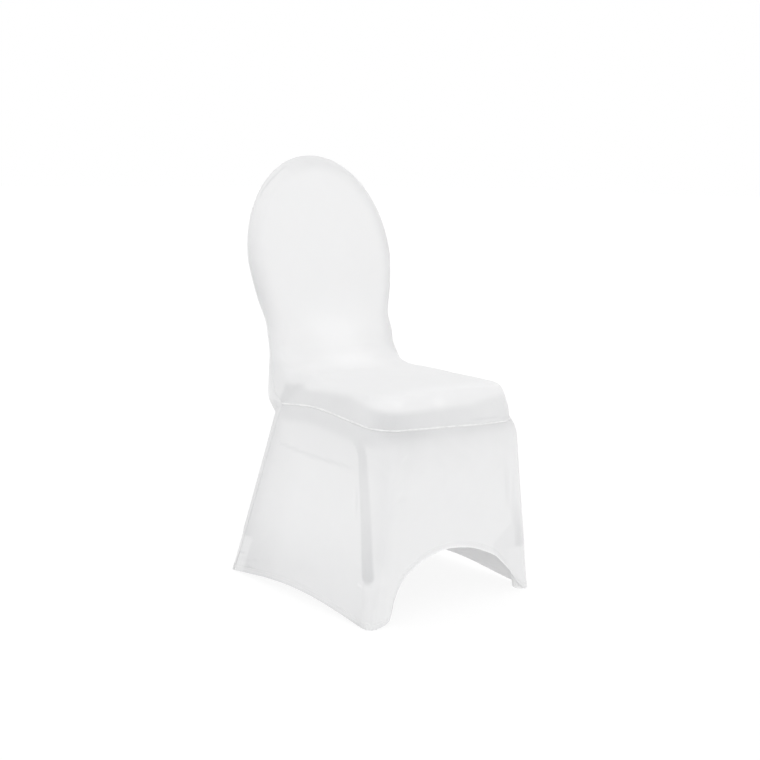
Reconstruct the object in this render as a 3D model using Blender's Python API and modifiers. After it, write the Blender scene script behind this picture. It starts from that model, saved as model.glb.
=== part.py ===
"""Fitted stretch cover: a round-topped hood, a padded seat top and a skirt.

It is modelled in its stretched shape, from four kinds of cloth piece, each a
thin closed sheet:
  seat_and_inner_back   front of the hood and top of the seat, cut in one
  outer_back            rear of the hood, running on down to the rear hem
  skirt                 near side, front and far side in one wrap
  foot_pocket_...       a cup with a closed sole inside each of the four corners

Frame: +Z up, the front of the seat faces -Y, the floor is at z = 0, metres.
"""
import bpy
import bmesh
import math
import numpy as np

# Cloth
CLOTH = 0.0020            # thickness of the knit with its seam allowance
POCKET_CLOTH = 0.0015     # thickness of a foot pocket's wall
SEAM_PULL = 0.00035       # each cut edge stops this far short of its seam line
MERGE_DISTANCE = 0.00002  # grid points nearer than this are one point

# Hood: a leaning slab with a round top
BACK_LEAN = math.radians(12.1)
BACK_Y = 0.1515           # middle of the back's thickness at the seat's height
BACK_Z = 0.460
BACK_HALF_DEPTH = 0.021
ARCH_Z = 0.710            # height where the round top begins
ARCH_HALF_WIDTH = 0.200
TOTAL_HEIGHT = 0.9435
BACK_ROUND = 0.026        # width over which the back's face turns into its rim
INNER_CROWN = 0.006
OUTER_CROWN = 0.003

# Rows down the side of the hood, below the round top
BACK_ROWS = (
    # height, half_width
    (0.670, 0.1945),
    (0.625, 0.1855),
    (0.580, 0.1725),
    (0.545, 0.1710),
    (0.512, 0.1715),
)

# Rows through the bend from the hood to the seat. The face is the edge of the
# front, the rear is the edge of the outer back, and the seam is where the two
# pieces meet at the side.
BEND_ROWS = (
    # face_half, face_y, face_z, seam_half, seam_y, seam_z, rear_half, rear_y, rear_z
    (0.1815, 0.131, 0.494, 0.1765, 0.152, 0.480, 0.1790, 0.1775, 0.480),
    (0.1790, 0.105, 0.480, 0.1785, 0.144, 0.448, 0.1850, 0.1745, 0.446),
    (0.1790, 0.073, 0.474, 0.1785, 0.136, 0.422, 0.1990, 0.1705, 0.412),
)
BEND_END_REAR = (0.1790, 0.160, 0.388)   # rear_half, rear_y, rear_z beside the seam's end

# Seat: the rounded outline of its lower seam, and the height of the seam as it
# runs round from the near rear end to the far rear end. It droops in front.
SEAT_REAR_Y = 0.121
SEAT_REAR_HALF = 0.170
SEAT_REAR_TUCK = 0.070    # the seat's top starts this far ahead of the seam's rear end
SEAT_FRONT_Y = -0.2525
SEAT_FRONT_HALF = 0.195
SEAT_CORNER_RADIUS = 0.049
SEAT_CENTRE_Y = -0.080
SEAT_TOP_REAR_Z = 0.472
SEAT_TOP_Z = 0.458
SEAT_CROWN = 0.021
SEAT_ROUND = 0.030
SEAM_ROWS = (
    # place along the seam, height
    (0.00, 0.401),
    (0.12, 0.414),
    (0.25, 0.408),
    (0.38, 0.399),
    (0.50, 0.392),
    (0.62, 0.386),
    (0.80, 0.390),
    (1.00, 0.398),
)

# Skirt: the middles of its front and rear corners on the floor, with their roundness
FOOT_FRONT = (0.2145, -0.2539)
FOOT_REAR = (0.2125, 0.223)
FOOT_ROUND = 0.0175
SHOULDER = 0.013          # how far the skirt stands out below the seat's front corners
SHOULDER_SHARE = 0.13     # share of the skirt's height that the shoulder takes
SHOULDER_POWER = 3        # how fast the shoulder dies away on either side of the corner
SIDE_BOW = 0.006          # how far the stretched cloth draws in between the corners
FRONT_BOW = 0.005
REAR_BOW = 0.006
HEM_FOOT_Z = 0.0025       # height of the hem at a corner

# Front hem: the arch between the two front corners, which is wider on the far side
FRONT_HEM_ROWS = (
    # x where the line down the cloth meets the floor, height of the hem on it
    (-0.2150, 0.0025),
    (-0.1900, 0.0060),
    (-0.1780, 0.0180),
    (-0.1700, 0.0560),
    (-0.1450, 0.0920),
    (-0.0980, 0.1160),
    (-0.0520, 0.1275),
    (-0.0080, 0.1310),
    (0.0500, 0.1240),
    (0.0920, 0.1115),
    (0.1330, 0.0930),
    (0.1540, 0.0750),
    (0.1740, 0.0530),
    (0.1900, 0.0290),
    (0.2000, 0.0150),
    (0.2150, 0.0025),
)
SIDE_HEM_RISE = 0.0195    # the side and rear hems lift this much between corners

# Foot pockets
POCKET_HEIGHT = 0.088
POCKET_RADIUS = 0.0147
POCKET_SOLE_ROUND = 0.004
FRONT_CORNER_Z = 0.399    # height of the seat's seam above a front pocket
REAR_CORNER_Z = 0.401     # height of the seat's seam above a rear pocket

# Steps of the grids
ARCH_STEPS = 22
BACK_STEPS = 8
SIDE_STEPS = 8
CORNER_STEPS = 6
FRONT_STEPS = 20
FLAT_STEPS = 4
TURN_ANGLES = (18, 36, 54, 71, 84, 90)
SKIRT_STEPS = 7
POCKET_STEPS = 14
CURVE_STEPS = 24          # steps between two rows when a height is read from a table

UP = np.array([0.0, 0.0, 1.0])
BACK_NORMAL = np.array([0.0, math.cos(BACK_LEAN), -math.sin(BACK_LEAN)])
DIAGONAL = math.sqrt(0.5)

COLOURS = {
    # red, green, blue, roughness
    "seat_and_inner_back": (0.86, 0.86, 0.86, 0.62),
    "outer_back": (0.84, 0.84, 0.84, 0.62),
    "skirt": (0.82, 0.82, 0.82, 0.64),
    "foot_pocket": (0.88, 0.88, 0.88, 0.66),
}


def clear_scene():
    """Remove the objects that the scene starts with."""
    for thing in list(bpy.data.objects):
        bpy.data.objects.remove(thing, do_unlink=True)


def cloth_material(name):
    """A matt white knit in the colour that the table gives for the piece."""
    red, green, blue, roughness = COLOURS[name]
    material = bpy.data.materials.new(name + "_cloth")
    material.use_nodes = True
    shader = material.node_tree.nodes["Principled BSDF"]
    shader.inputs["Base Color"].default_value = (red, green, blue, 1.0)
    shader.inputs["Roughness"].default_value = roughness
    shader.inputs["Metallic"].default_value = 0.0
    return material


def smooth_rows(rows, steps):
    """Points on a smooth curve through the rows of a table, all columns at once.

    Catmull-Rom between rows: with p0..p3 four rows in a run and t from 0 to 1,
    p = (2 p1 + (p2-p0) t + (2p0-5p1+4p2-p3) t^2 + (3p1-3p2+p3-p0) t^3) / 2.
    """
    rows = np.asarray(rows, dtype=float)
    ends = np.vstack([2 * rows[0] - rows[1], rows, 2 * rows[-1] - rows[-2]])
    place = np.linspace(0.0, len(rows) - 1.0, steps + 1)
    first = np.minimum(place.astype(int), len(rows) - 2)
    t = (place - first)[:, None]
    p0, p1, p2, p3 = (ends[first + k] for k in range(4))
    cubic = (3 * p1 - 3 * p2 + p3 - p0) * t ** 3
    square = (2 * p0 - 5 * p1 + 4 * p2 - p3) * t ** 2
    return (2 * p1 + (p2 - p0) * t + square + cubic) / 2


def height_at(rows, where):
    """Heights read from a two-column table by smooth steps between its rows."""
    fine = smooth_rows(rows, CURVE_STEPS * (len(rows) - 1))
    return np.interp(where, fine[:, 0], fine[:, 1])


def back_point(x, height, offset):
    """Points on a plane of the hood: offset is the distance behind its middle.

    y = BACK_Y + (height - BACK_Z) tan(lean) + offset cos(lean)
    z = height - offset sin(lean)
    """
    x, height, offset = np.broadcast_arrays(x, height, offset)
    y = BACK_Y + (height - BACK_Z) * math.tan(BACK_LEAN) + offset * math.cos(BACK_LEAN)
    z = height - offset * math.sin(BACK_LEAN)
    return np.stack([x, y, z], axis=-1).astype(float)


def seat_outline():
    """Plan of the seat's lower seam, from the near rear end to the far rear end."""
    start = (-SEAT_REAR_HALF, SEAT_REAR_Y)
    centre = (-SEAT_FRONT_HALF + SEAT_CORNER_RADIUS, SEAT_FRONT_Y + SEAT_CORNER_RADIUS)
    return rounded_outline(start, centre, SEAT_CORNER_RADIUS)


def floor_outline():
    """Plan of the skirt at the floor, with a small quarter arc at each front corner."""
    start = (-FOOT_REAR[0] - FOOT_ROUND, FOOT_REAR[1])
    return rounded_outline(start, (-FOOT_FRONT[0], FOOT_FRONT[1]), FOOT_ROUND)


def rounded_outline(start, centre, radius):
    """Near side, near corner arc, front, and then the far half as its mirror image.

    The front's points crowd towards the corners: x falls as cos of an even angle.
    """
    start = np.array(start)
    turn = np.linspace(0.0, math.pi / 2, CORNER_STEPS + 1)[:, None]
    arc = np.array(centre) + radius * np.hstack([-np.cos(turn), -np.sin(turn)])
    side = start + (arc[0] - start) * np.linspace(0.0, 1.0, SIDE_STEPS + 1)[:-1, None]
    middle = np.array([0.0, arc[-1, 1]])
    angle = np.linspace(0.0, math.pi / 2, FRONT_STEPS // 2 + 1)[1:, None]
    front = arc[-1] + (middle - arc[-1]) * (1 - np.cos(angle))
    half = np.vstack([side, arc, front])
    mirrored = half[-2::-1] * np.array([-1.0, 1.0])
    return np.vstack([half, mirrored])


def along(points):
    """Distance along a line of points, from 0 at its start to 1 at its end."""
    lengths = np.linalg.norm(np.diff(points, axis=0), axis=1)
    run = np.concatenate([[0.0], np.cumsum(lengths)])
    return run / run[-1]


def seat_seam():
    """The seam under the seat's edge, in space."""
    plan = seat_outline()
    heights = height_at(SEAM_ROWS, along(plan))
    return np.column_stack([plan, heights])


def bend_rows(side):
    """Face, seam and rear lines down one side, from the round top to the seat.

    side is -1 for the near side and 1 for the far side. The columns are those
    of BEND_ROWS, and the last row ends on the rear end of the seat's seam.
    """
    seam_end = seat_seam()[0 if side < 0 else -1]
    rows = []
    for height, half_width in ((ARCH_Z, ARCH_HALF_WIDTH),) + BACK_ROWS:
        row = []
        for offset in (-BACK_HALF_DEPTH, 0.0, BACK_HALF_DEPTH):
            row.extend(back_point(half_width, height, offset))
        rows.append(row)
    rows.extend(BEND_ROWS)
    face_end = (SEAT_REAR_HALF, SEAT_REAR_Y - SEAT_REAR_TUCK, SEAT_TOP_REAR_Z)
    rows.append(face_end + (SEAT_REAR_HALF, SEAT_REAR_Y, seam_end[2]) + BEND_END_REAR)
    lines = smooth_rows(rows, BACK_STEPS + len(BEND_ROWS) + 1)
    lines[:, [0, 3, 6]] *= side
    return lines


def on_middle(points):
    """The same points moved sideways to the middle of the cover."""
    return points * np.array([0.0, 1.0, 1.0])


def rays(centre, edge, end, turn_width, lift):
    """A sheet as rays from its middle line out to its seam.

    With u the unit vector from centre to edge and L their distance, the flat
    run is centre + u s for s from 0 to L - turn_width. It then turns over a
    quarter ellipse: + u turn_width sin(b) + (end - edge) (1 - cos(b)), for b
    from 0 to 90 degrees. All of it is raised by lift (1 - (r / L)^2).
    """
    span = edge - centre
    length = np.linalg.norm(span, axis=1)[:, None, None]
    unit = span[:, None, :] / length
    width = turn_width[:, None, None]
    angle = np.radians(TURN_ANGLES)[None, :, None]
    flat = np.linspace(0.0, 1.0, FLAT_STEPS + 1)[None, :, None] * (length - width)
    reach = np.concatenate([flat, length - width + width * np.sin(angle)], axis=1)
    fall = np.concatenate([np.zeros_like(flat), np.ones_like(width) * (1 - np.cos(angle))], axis=1)
    drop = (end - edge)[:, None, :]
    crown = lift[:, None, :] * (1 - (reach / length) ** 2)
    return centre[:, None, :] + unit * reach + drop * fall + crown


def inner_points():
    """Grid of the seat and inner back: one row for each ray round the whole seam.

    Down the hood the turn widens and the crown fades with the square of the
    place, from 0 at the round top to 1 at the seat.
    """
    share = np.linspace(0.0, 1.0, BACK_STEPS + len(BEND_ROWS) + 2) ** 2
    width = BACK_ROUND + (SEAT_ROUND - BACK_ROUND) * share
    lift = INNER_CROWN * (1 - share)[:, None] * -BACK_NORMAL
    groups = []
    for side in (-1, 1):
        lines = bend_rows(side)
        face, seam = lines[:, 0:3], lines[:, 3:6]
        groups.append([on_middle(face), face, seam, width, lift])
    near, far = groups
    arch = arch_rays(-BACK_HALF_DEPTH, -BACK_NORMAL * INNER_CROWN)
    rows = [backwards(near), arch, far, seat_rays()]
    grid = rays(*(np.concatenate(part) for part in zip(*rows)))
    return np.concatenate([grid, grid[:1]])[::-1]


def backwards(group):
    """The same rays in the other order."""
    return [part[::-1] for part in group]


def arch_rays(offset, lift):
    """Rays of the hood's round top on one face, from the near side to the far side.

    The edge is a half ellipse on a leaning plane: x = -W cos(a), and the height
    is ARCH_Z + rise sin(a), for a from 0 to 180 degrees.
    """
    turn = np.linspace(0.0, math.pi, ARCH_STEPS + 1)[1:-1]
    across = -ARCH_HALF_WIDTH * np.cos(turn)
    height = ARCH_Z + (TOTAL_HEIGHT - ARCH_Z) * np.sin(turn)
    edge = back_point(across, height, offset)
    middle = np.broadcast_to(back_point(0.0, ARCH_Z, offset), edge.shape)
    width = np.full(len(turn), BACK_ROUND)
    return [middle, edge, back_point(across, height, 0.0), width, np.tile(lift, (len(turn), 1))]


def seat_rays():
    """Rays of the seat from its far rear end round the front to its near rear end."""
    seam = seat_seam()[::-1][1:-1]
    behind = np.clip(seam[:, 1] / SEAT_REAR_Y, 0.0, 1.0)
    edge_y = seam[:, 1] - SEAT_REAR_TUCK * behind
    centre_y = np.maximum(edge_y, SEAT_CENTRE_Y)
    rear_share = (centre_y - SEAT_CENTRE_Y) / (SEAT_REAR_Y - SEAT_REAR_TUCK - SEAT_CENTRE_Y)
    top = SEAT_TOP_Z + (SEAT_TOP_REAR_Z - SEAT_TOP_Z) * rear_share
    edge = np.column_stack([seam[:, 0], edge_y, top])
    centre = np.column_stack([np.zeros(len(seam)), centre_y, top])
    lift = SEAT_CROWN * (1 - rear_share)[:, None] * UP
    return [centre, edge, seam, np.full(len(seam), SEAT_ROUND), lift]


def outer_points():
    """Grid of the outer back: from the near rear hem up over the top and down."""
    groups = []
    for side in (-1, 1):
        lines = bend_rows(side)
        rear, seam = lines[:, 6:9], lines[:, 3:6]
        width = np.full(len(lines), BACK_ROUND)
        lift = np.tile(BACK_NORMAL * OUTER_CROWN, (len(lines), 1))
        upper = [on_middle(rear), rear, seam, width, lift]
        lower = lower_rear(side, seam[-1], rear[-1])
        groups.append([np.concatenate(pair) for pair in zip(upper, lower)])
    near, far = groups
    rows = [backwards(near), arch_rays(BACK_HALF_DEPTH, BACK_NORMAL * OUTER_CROWN), far]
    return rays(*(np.concatenate(part) for part in zip(*rows)))


def lower_rear(side, seam_top, rear_top):
    """Rays of the outer back below the seat, down to the rear hem."""
    share = np.linspace(0.0, 1.0, SKIRT_STEPS + 1)[1:]
    foot = np.array([side * (FOOT_REAR[0] + FOOT_ROUND), FOOT_REAR[1], HEM_FOOT_Z])
    corner = foot + np.array([0.0, FOOT_ROUND, 0.0])
    end = seam_top + (foot - seam_top) * share[:, None]
    edge = rear_top + (corner - rear_top) * share[:, None]
    width = BACK_ROUND + (FOOT_ROUND - BACK_ROUND) * share
    lift = np.zeros_like(edge)
    lift[:, 1] = OUTER_CROWN - (OUTER_CROWN + REAR_BOW) * np.sin(share * math.pi / 2)
    lift[:, 2] = SIDE_HEM_RISE * share ** 2
    return [on_middle(edge), edge, end, width, lift]


def skirt_points():
    """Grid of the skirt: rows from the hem up to the seat's seam.

    Straight lines join the seam to the outline on the floor and stop at the
    hem. With v the place down a line, 0 to 1, and w a share that is 1 at the
    middle of a side or of the front and 0 at its ends, the cloth draws in by
    bow sin(pi v) w. Below the front corners it stands out by
    SHOULDER u (1 - (1 - v / SHOULDER_SHARE)^2) up to v = SHOULDER_SHARE and by
    SHOULDER u (1 - v) / (1 - SHOULDER_SHARE) after it, with u near 1 at a corner.
    """
    top = seat_seam()
    floor = np.column_stack([floor_outline(), np.zeros(len(top))])
    count = len(top)
    index = np.arange(count)
    from_end = np.minimum(index, count - 1 - index)
    side = np.clip(from_end / SIDE_STEPS, 0.0, 1.0)
    front = np.clip((from_end - SIDE_STEPS - CORNER_STEPS) / (FRONT_STEPS / 2), 0.0, 1.0)
    side_share = 1 - (2 * side - 1) ** 2
    front_share = 1 - (1 - front) ** 2
    corner_share = (side * (1 - front)) ** SHOULDER_POWER

    side_hem = HEM_FOOT_Z + SIDE_HEM_RISE * side_share
    front_hem = height_at(FRONT_HEM_ROWS, floor[:, 0])
    hem = np.where(from_end > SIDE_STEPS, front_hem, side_hem)

    v = np.linspace(0.0, 1.0, SKIRT_STEPS + 1)[:, None] * (1 - hem / top[:, 2])[None, :]
    above = 1 - np.clip(1 - v / SHOULDER_SHARE, 0.0, None) ** 2
    below = np.clip((1 - v) / (1 - SHOULDER_SHARE), 0.0, 1.0)
    bow = np.sin(math.pi * v) * (SIDE_BOW * side_share + FRONT_BOW * front_share)
    push = SHOULDER * corner_share * above * below - bow
    grid = top[None] + (floor - top)[None] * v[:, :, None]
    ahead = np.gradient(floor, axis=0)
    ahead /= np.linalg.norm(ahead, axis=1, keepdims=True)
    grid[:, :, 0] += push * ahead[:, 1]
    grid[:, :, 1] -= push * ahead[:, 0]
    return grid[::-1]


def pull_edges(grid, first_row, last_row, first_column, last_column):
    """Draw chosen edges of a grid back along the sheet, off their seam lines."""
    grid = grid.copy()
    if first_row:
        grid[0] += stepped(grid[1] - grid[0])
    if last_row:
        grid[-1] += stepped(grid[-2] - grid[-1])
    if first_column:
        grid[:, 0] += stepped(grid[:, 1] - grid[:, 0])
    if last_column:
        grid[:, -1] += stepped(grid[:, -2] - grid[:, -1])
    return grid


def stepped(vectors):
    """The same directions, each as long as the gap beside a seam."""
    return vectors / np.linalg.norm(vectors, axis=1, keepdims=True) * SEAM_PULL


def sheet(name, grid, colour, thickness, collection):
    """One cloth piece: a grid set to the given points, made thick inwards."""
    rows, columns = grid.shape[:2]
    mesh = bpy.data.meshes.new(name)
    work = bmesh.new()
    bmesh.ops.create_grid(work, x_segments=columns - 1, y_segments=rows - 1, size=1.0)
    work.verts.ensure_lookup_table()
    for vertex, place in zip(work.verts, grid.reshape(-1, 3)):
        vertex.co = place
    bmesh.ops.remove_doubles(work, verts=work.verts, dist=MERGE_DISTANCE)
    work.to_mesh(mesh)
    work.free()
    mesh.shade_smooth()
    mesh.materials.append(cloth_material(colour))
    piece = bpy.data.objects.new(name, mesh)
    collection.objects.link(piece)
    wall = piece.modifiers.new("cloth_thickness", "SOLIDIFY")
    wall.thickness = thickness
    wall.offset = -1.0
    wall.use_even_offset = True
    return piece


def front_corner_lean():
    """Sideways and forward run of a front corner for each metre of height."""
    inset = SEAT_CORNER_RADIUS * (1 - DIAGONAL)
    reach = FOOT_ROUND * DIAGONAL
    run_x = SEAT_FRONT_HALF - inset - (FOOT_FRONT[0] + reach)
    run_y = SEAT_FRONT_Y + inset - (FOOT_FRONT[1] - reach)
    return run_x / FRONT_CORNER_Z, run_y / FRONT_CORNER_Z


def rear_corner_lean():
    """Sideways and forward run of a rear corner for each metre of height."""
    run_x = SEAT_REAR_HALF - (FOOT_REAR[0] + FOOT_ROUND)
    run_y = (SEAT_REAR_Y + BEND_END_REAR[1]) / 2 - (FOOT_REAR[1] + FOOT_ROUND / 2)
    return run_x / REAR_CORNER_Z, run_y / REAR_CORNER_Z


def pocket_points(x, y, lean_x, lean_y):
    """Grid of a foot pocket: rings from the middle of its sole up its wall.

    A ring at height z has its centre at (x + lean_x z, y + lean_y z).
    """
    sole = POCKET_RADIUS - POCKET_SOLE_ROUND
    half = POCKET_SOLE_ROUND * (1 - DIAGONAL)
    rings = (
        # height, radius
        (0.0, 0.0),
        (0.0, sole),
        (half, POCKET_RADIUS - half),
        (POCKET_SOLE_ROUND, POCKET_RADIUS),
        (POCKET_HEIGHT / 2, POCKET_RADIUS),
        (POCKET_HEIGHT, POCKET_RADIUS),
    )
    turn = np.linspace(0.0, 2 * math.pi, POCKET_STEPS + 1)
    grid = np.zeros((len(rings), len(turn), 3))
    for row, (height, radius) in enumerate(rings):
        grid[row, :, 0] = x + lean_x * height + radius * np.cos(turn)
        grid[row, :, 1] = y + lean_y * height + radius * np.sin(turn)
        grid[row, :, 2] = height
    return grid


def build():
    """Make every piece in one collection."""
    clear_scene()
    cover = bpy.data.collections.new("chair_cover")
    bpy.context.scene.collection.children.link(cover)

    inner = pull_edges(inner_points(), False, False, False, True)
    sheet("seat_and_inner_back", inner, "seat_and_inner_back", CLOTH, cover)
    outer = pull_edges(outer_points(), False, False, False, True)
    sheet("outer_back", outer, "outer_back", CLOTH, cover)
    skirt = pull_edges(skirt_points(), False, True, True, True)
    sheet("skirt", skirt, "skirt", CLOTH, cover)

    for place, foot, (lean_x, lean_y) in (
        ("front", FOOT_FRONT, front_corner_lean()),
        ("rear", FOOT_REAR, rear_corner_lean()),
    ):
        for side, sign in (("right", -1), ("left", 1)):
            grid = pocket_points(sign * foot[0], foot[1], sign * lean_x, lean_y)
            sheet("foot_pocket_" + place + "_" + side, grid, "foot_pocket", POCKET_CLOTH, cover)


build()
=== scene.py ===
"""Looks of a fitted stretch cover: hood, seat top, skirt and foot pockets.

The file is laid out as a Blender add-on and is run as a script. Each cloth piece
is a thin sheet worked out on a grid of two parameters, with its seams, hem,
creases and the grey bands where the cloth lies on something dark behind it.
The same greyness also carries painted shade and painted light.
Lengths are in metres, +Z is up and the front of the seat faces -Y.
"""

import math

import bmesh
import bpy
import numpy as np
from bpy.props import FloatProperty, FloatVectorProperty, PointerProperty
from mathutils import Matrix, Vector


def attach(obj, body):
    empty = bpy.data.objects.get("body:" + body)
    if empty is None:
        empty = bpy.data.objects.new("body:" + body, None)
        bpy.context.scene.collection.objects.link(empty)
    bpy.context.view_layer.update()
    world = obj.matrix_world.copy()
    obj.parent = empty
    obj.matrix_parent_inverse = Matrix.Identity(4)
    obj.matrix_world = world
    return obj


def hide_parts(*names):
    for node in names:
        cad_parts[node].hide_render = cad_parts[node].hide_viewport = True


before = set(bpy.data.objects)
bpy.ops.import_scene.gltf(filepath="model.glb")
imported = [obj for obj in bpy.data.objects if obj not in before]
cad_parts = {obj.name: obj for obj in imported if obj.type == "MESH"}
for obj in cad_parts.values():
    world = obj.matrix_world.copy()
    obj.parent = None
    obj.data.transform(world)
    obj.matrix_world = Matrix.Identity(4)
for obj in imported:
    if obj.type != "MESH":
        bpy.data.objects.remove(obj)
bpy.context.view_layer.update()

bl_info = {
    "name": "Stretch cover",
    "version": (1, 0, 0),
    "blender": (4, 5, 0),
    "location": "View3D > Sidebar > Cover",
    "description": "A white stretch cover with a hood, a seat top, a skirt and foot pockets",
    "category": "Object",
}

# Hood: a leaning slab with a round top
BACK_LEAN = math.radians(12.1)
BACK_Y = 0.1515
BACK_Z = 0.46
BACK_HALF_DEPTH = 0.021
ARCH_Z = 0.71
ARCH_HALF_WIDTH = 0.2
TOTAL_HEIGHT = 0.9435
BACK_ROUND = 0.026
INNER_CROWN = 0.006
OUTER_CROWN = 0.003
BACK_ROWS = (
    # height, half_width
    (0.67, 0.1945),
    (0.625, 0.1855),
    (0.58, 0.1725),
    (0.545, 0.171),
    (0.512, 0.1715),
)
BEND_ROWS = (
    # face_half, face_y, face_z, seam_half, seam_y, seam_z, rear_half, rear_y, rear_z
    (0.1815, 0.131, 0.494, 0.1765, 0.152, 0.48, 0.179, 0.1775, 0.48),
    (0.179, 0.105, 0.48, 0.1785, 0.144, 0.448, 0.185, 0.1745, 0.446),
    (0.179, 0.073, 0.474, 0.1775, 0.136, 0.421, 0.19, 0.17, 0.408),
)
BEND_END_REAR = (0.1785, 0.158, 0.37)

# Seat
SEAT_REAR_Y = 0.121
SEAT_REAR_HALF = 0.17
SEAT_REAR_TUCK = 0.07
SEAT_FRONT_Y = -0.2525
SEAT_FRONT_HALF = 0.195
SEAT_CORNER_RADIUS = 0.049
SEAT_CENTRE_Y = -0.08
SEAT_TOP_REAR_Z = 0.472
SEAT_TOP_Z = 0.458
SEAT_CROWN = 0.021
SEAT_ROUND = 0.03
SEAM_ROWS = (
    # place along the seam, height
    (0.0, 0.401),
    (0.12, 0.414),
    (0.25, 0.408),
    (0.38, 0.399),
    (0.5, 0.392),
    (0.62, 0.386),
    (0.8, 0.39),
    (1.0, 0.398),
)

# Skirt
FOOT_FRONT = (0.2145, -0.2539)
FOOT_REAR = (0.2125, 0.223)
FOOT_ROUND = 0.0175
SHOULDER = 0.013
SHOULDER_SHARE = 0.13
SHOULDER_POWER = 3
SIDE_BOW = 0.006
FRONT_BOW = 0.005
REAR_BOW = 0.006
HEM_FOOT_Z = 0.0012
SIDE_HEM_RISE = 0.0195
SIDE_HEM_POWER = 1.25       # above 1 the hem lies lower near the feet
FAR_HEM_POWER = 2.2         # the same near the far front foot
FRONT_HEM_ROWS = (
    # x where the line down the cloth meets the floor, height of the hem on it
    (-0.215, 0.0012),
    (-0.19, 0.006),
    (-0.178, 0.018),
    (-0.17, 0.056),
    (-0.145, 0.092),
    (-0.098, 0.116),
    (-0.052, 0.1275),
    (-0.008, 0.131),
    (0.05, 0.124),
    (0.092, 0.1115),
    (0.133, 0.093),
    (0.154, 0.075),
    (0.174, 0.053),
    (0.19, 0.029),
    (0.2, 0.015),
    (0.215, 0.0012),
)

# Foot pockets
POCKET_HEIGHT = 0.088
POCKET_RADIUS = 0.0147
POCKET_SOLE_ROUND = 0.004
FRONT_CORNER_Z = 0.399
REAR_CORNER_Z = 0.401
POCKET_SOLE_RINGS = 6
POCKET_HEM = 0.009
POCKET_HEM_ROWS = (
    # below the pocket's top, out from its wall
    (0.0083, 0.0001),
    (0.0075, 0.0004),
    (0.004, 0.0005),
    (0.0008, 0.0004),
    (0.0, 0.0),
)
POCKET_FOLD = 0.0003
POCKET_FOLD_Z = (0.01, 0.08)

# Steps of the grids
HOOD_STEPS = 96
ARCH_STEPS = 150
SIDE_STEPS = 120
CORNER_STEPS = 22
FRONT_STEPS = 130
FLAT_STEPS = 24
TURN_STEPS = 16
TURN_CROWDING = 1.7         # how much the steps of a turn crowd to its seam
SKIRT_STEPS = 70
LOWER_STEPS = 60
CURVE_STEPS = 24
POCKET_TURN_STEPS = 64
POCKET_RISE_STEPS = 36
HEM_STEPS = (0.0, 0.0006, 0.0016, 0.004, 0.007, 0.01, 0.0122, 0.0134, 0.0142, 0.0152, 0.018)
HEM_STITCHES = (0.007, 0.0122)
LOWER_LENGTH = 0.39         # length of the outer back below the seat
MERGE_DISTANCE = 0.00002
SEAT_ROWS = 2 * (SIDE_STEPS + CORNER_STEPS) + FRONT_STEPS
BEND_REACH = 26             # rows on each side of the bend that are evened out
BEND_ROUNDS = 120
SEAM_HOLD = (0.8, 0.55, 0.25, 0.0)  # the last points before a seam are evened less
CORNER_ROUNDS = 60          # how much the start of the front's bow is evened out
TINY = 1e-12

UP = np.array([0.0, 0.0, 1.0])
BACK_NORMAL = np.array([0.0, math.cos(BACK_LEAN), -math.sin(BACK_LEAN)])
DIAGONAL = math.sqrt(0.5)

# Where the cloth lies on something dark, as lines on the near side's surface.
# Each is mirrored to the far side.
FRONT_STRIPE = (
    # x, y, z, strength
    (-0.2232, -0.252, 0.1085, 0.96),
    (-0.2223, -0.249, 0.127, 0.86),
    (-0.2195, -0.241, 0.19, 0.66),
    (-0.217, -0.235, 0.231, 0.55),
    (-0.2155, -0.228, 0.275, 0.55),
    (-0.2145, -0.221, 0.3137, 0.64),
    (-0.2131, -0.216, 0.344, 0.7),
    (-0.2118, -0.211, 0.358, 0.72),
    (-0.208, -0.199, 0.3722, 0.7),
    (-0.203, -0.183, 0.38, 0.66),
    (-0.1968, -0.156, 0.388, 0.6),
)
REAR_STRIPE = (
    (-0.2126, 0.2139, 0.105, 0.8),
    (-0.208, 0.206, 0.135, 0.66),
    (-0.1983, 0.1891, 0.192, 0.56),
    (-0.1841, 0.1645, 0.294, 0.5),
    (-0.17, 0.14, 0.395, 0.6),
)
SIDE_LINE = (
    (-0.1835, 0.11, 0.315, 0.54),
    (-0.186, 0.06, 0.3115, 0.5),
    (-0.1903, -0.0168, 0.31, 0.46),
    (-0.196, -0.08, 0.312, 0.5),
    (-0.2045, -0.155, 0.316, 0.42),
    (-0.21, -0.185, 0.318, 0.34),
)
FAR_CORNER_STRIPE = (
    (0.16, -0.262, 0.3, 0.17),
    (0.164, -0.263, 0.261, 0.22),
    (0.172, -0.264, 0.208, 0.27),
    (0.184, -0.2655, 0.172, 0.42),
    (0.192, -0.2655, 0.143, 0.56),
    (0.196, -0.2655, 0.1, 0.72),
)
CORNER_EDGE = (
    # middle of the near front corner, from the seam to the foot pocket
    (-0.183, -0.25, 0.385, 1.0),
    (-0.205, -0.256, 0.25, 1.0),
    (-0.211, -0.266, 0.09, 1.0),
)
# Painted shade along folds, as lines on the surface
RIM_FOLD_SHADE = (
    # painted shade of a fold along the hood's rim
    (-0.16, 0.225, 0.845, 0.1),
    (-0.1527, 0.2289, 0.8592, 0.36),
    (-0.1281, 0.2306, 0.8858, 0.46),
    (-0.0973, 0.2336, 0.9097, 0.36),
    (-0.08, 0.2345, 0.92, 0.1),
)
SEAT_FOLD_SHADE = (
    # painted shade of a fold above the seam, towards the far front corner
    (0.05, -0.2518, 0.4, 0.05),
    (0.0716, -0.252, 0.399, 0.2),
    (0.1528, -0.252, 0.3935, 0.26),
    (0.175, -0.245, 0.3935, 0.1),
)
STRIPES = (
    # line, half its even width, where it has faded, half its ridge's width, share of the ridge
    (FRONT_STRIPE, 0.0095, 0.02, 0.014, 1.0),
    (REAR_STRIPE, 0.0095, 0.02, 0.014, 0.6),
    (SIDE_LINE, 0.001, 0.009, 0.009, 0.35),
)
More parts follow.
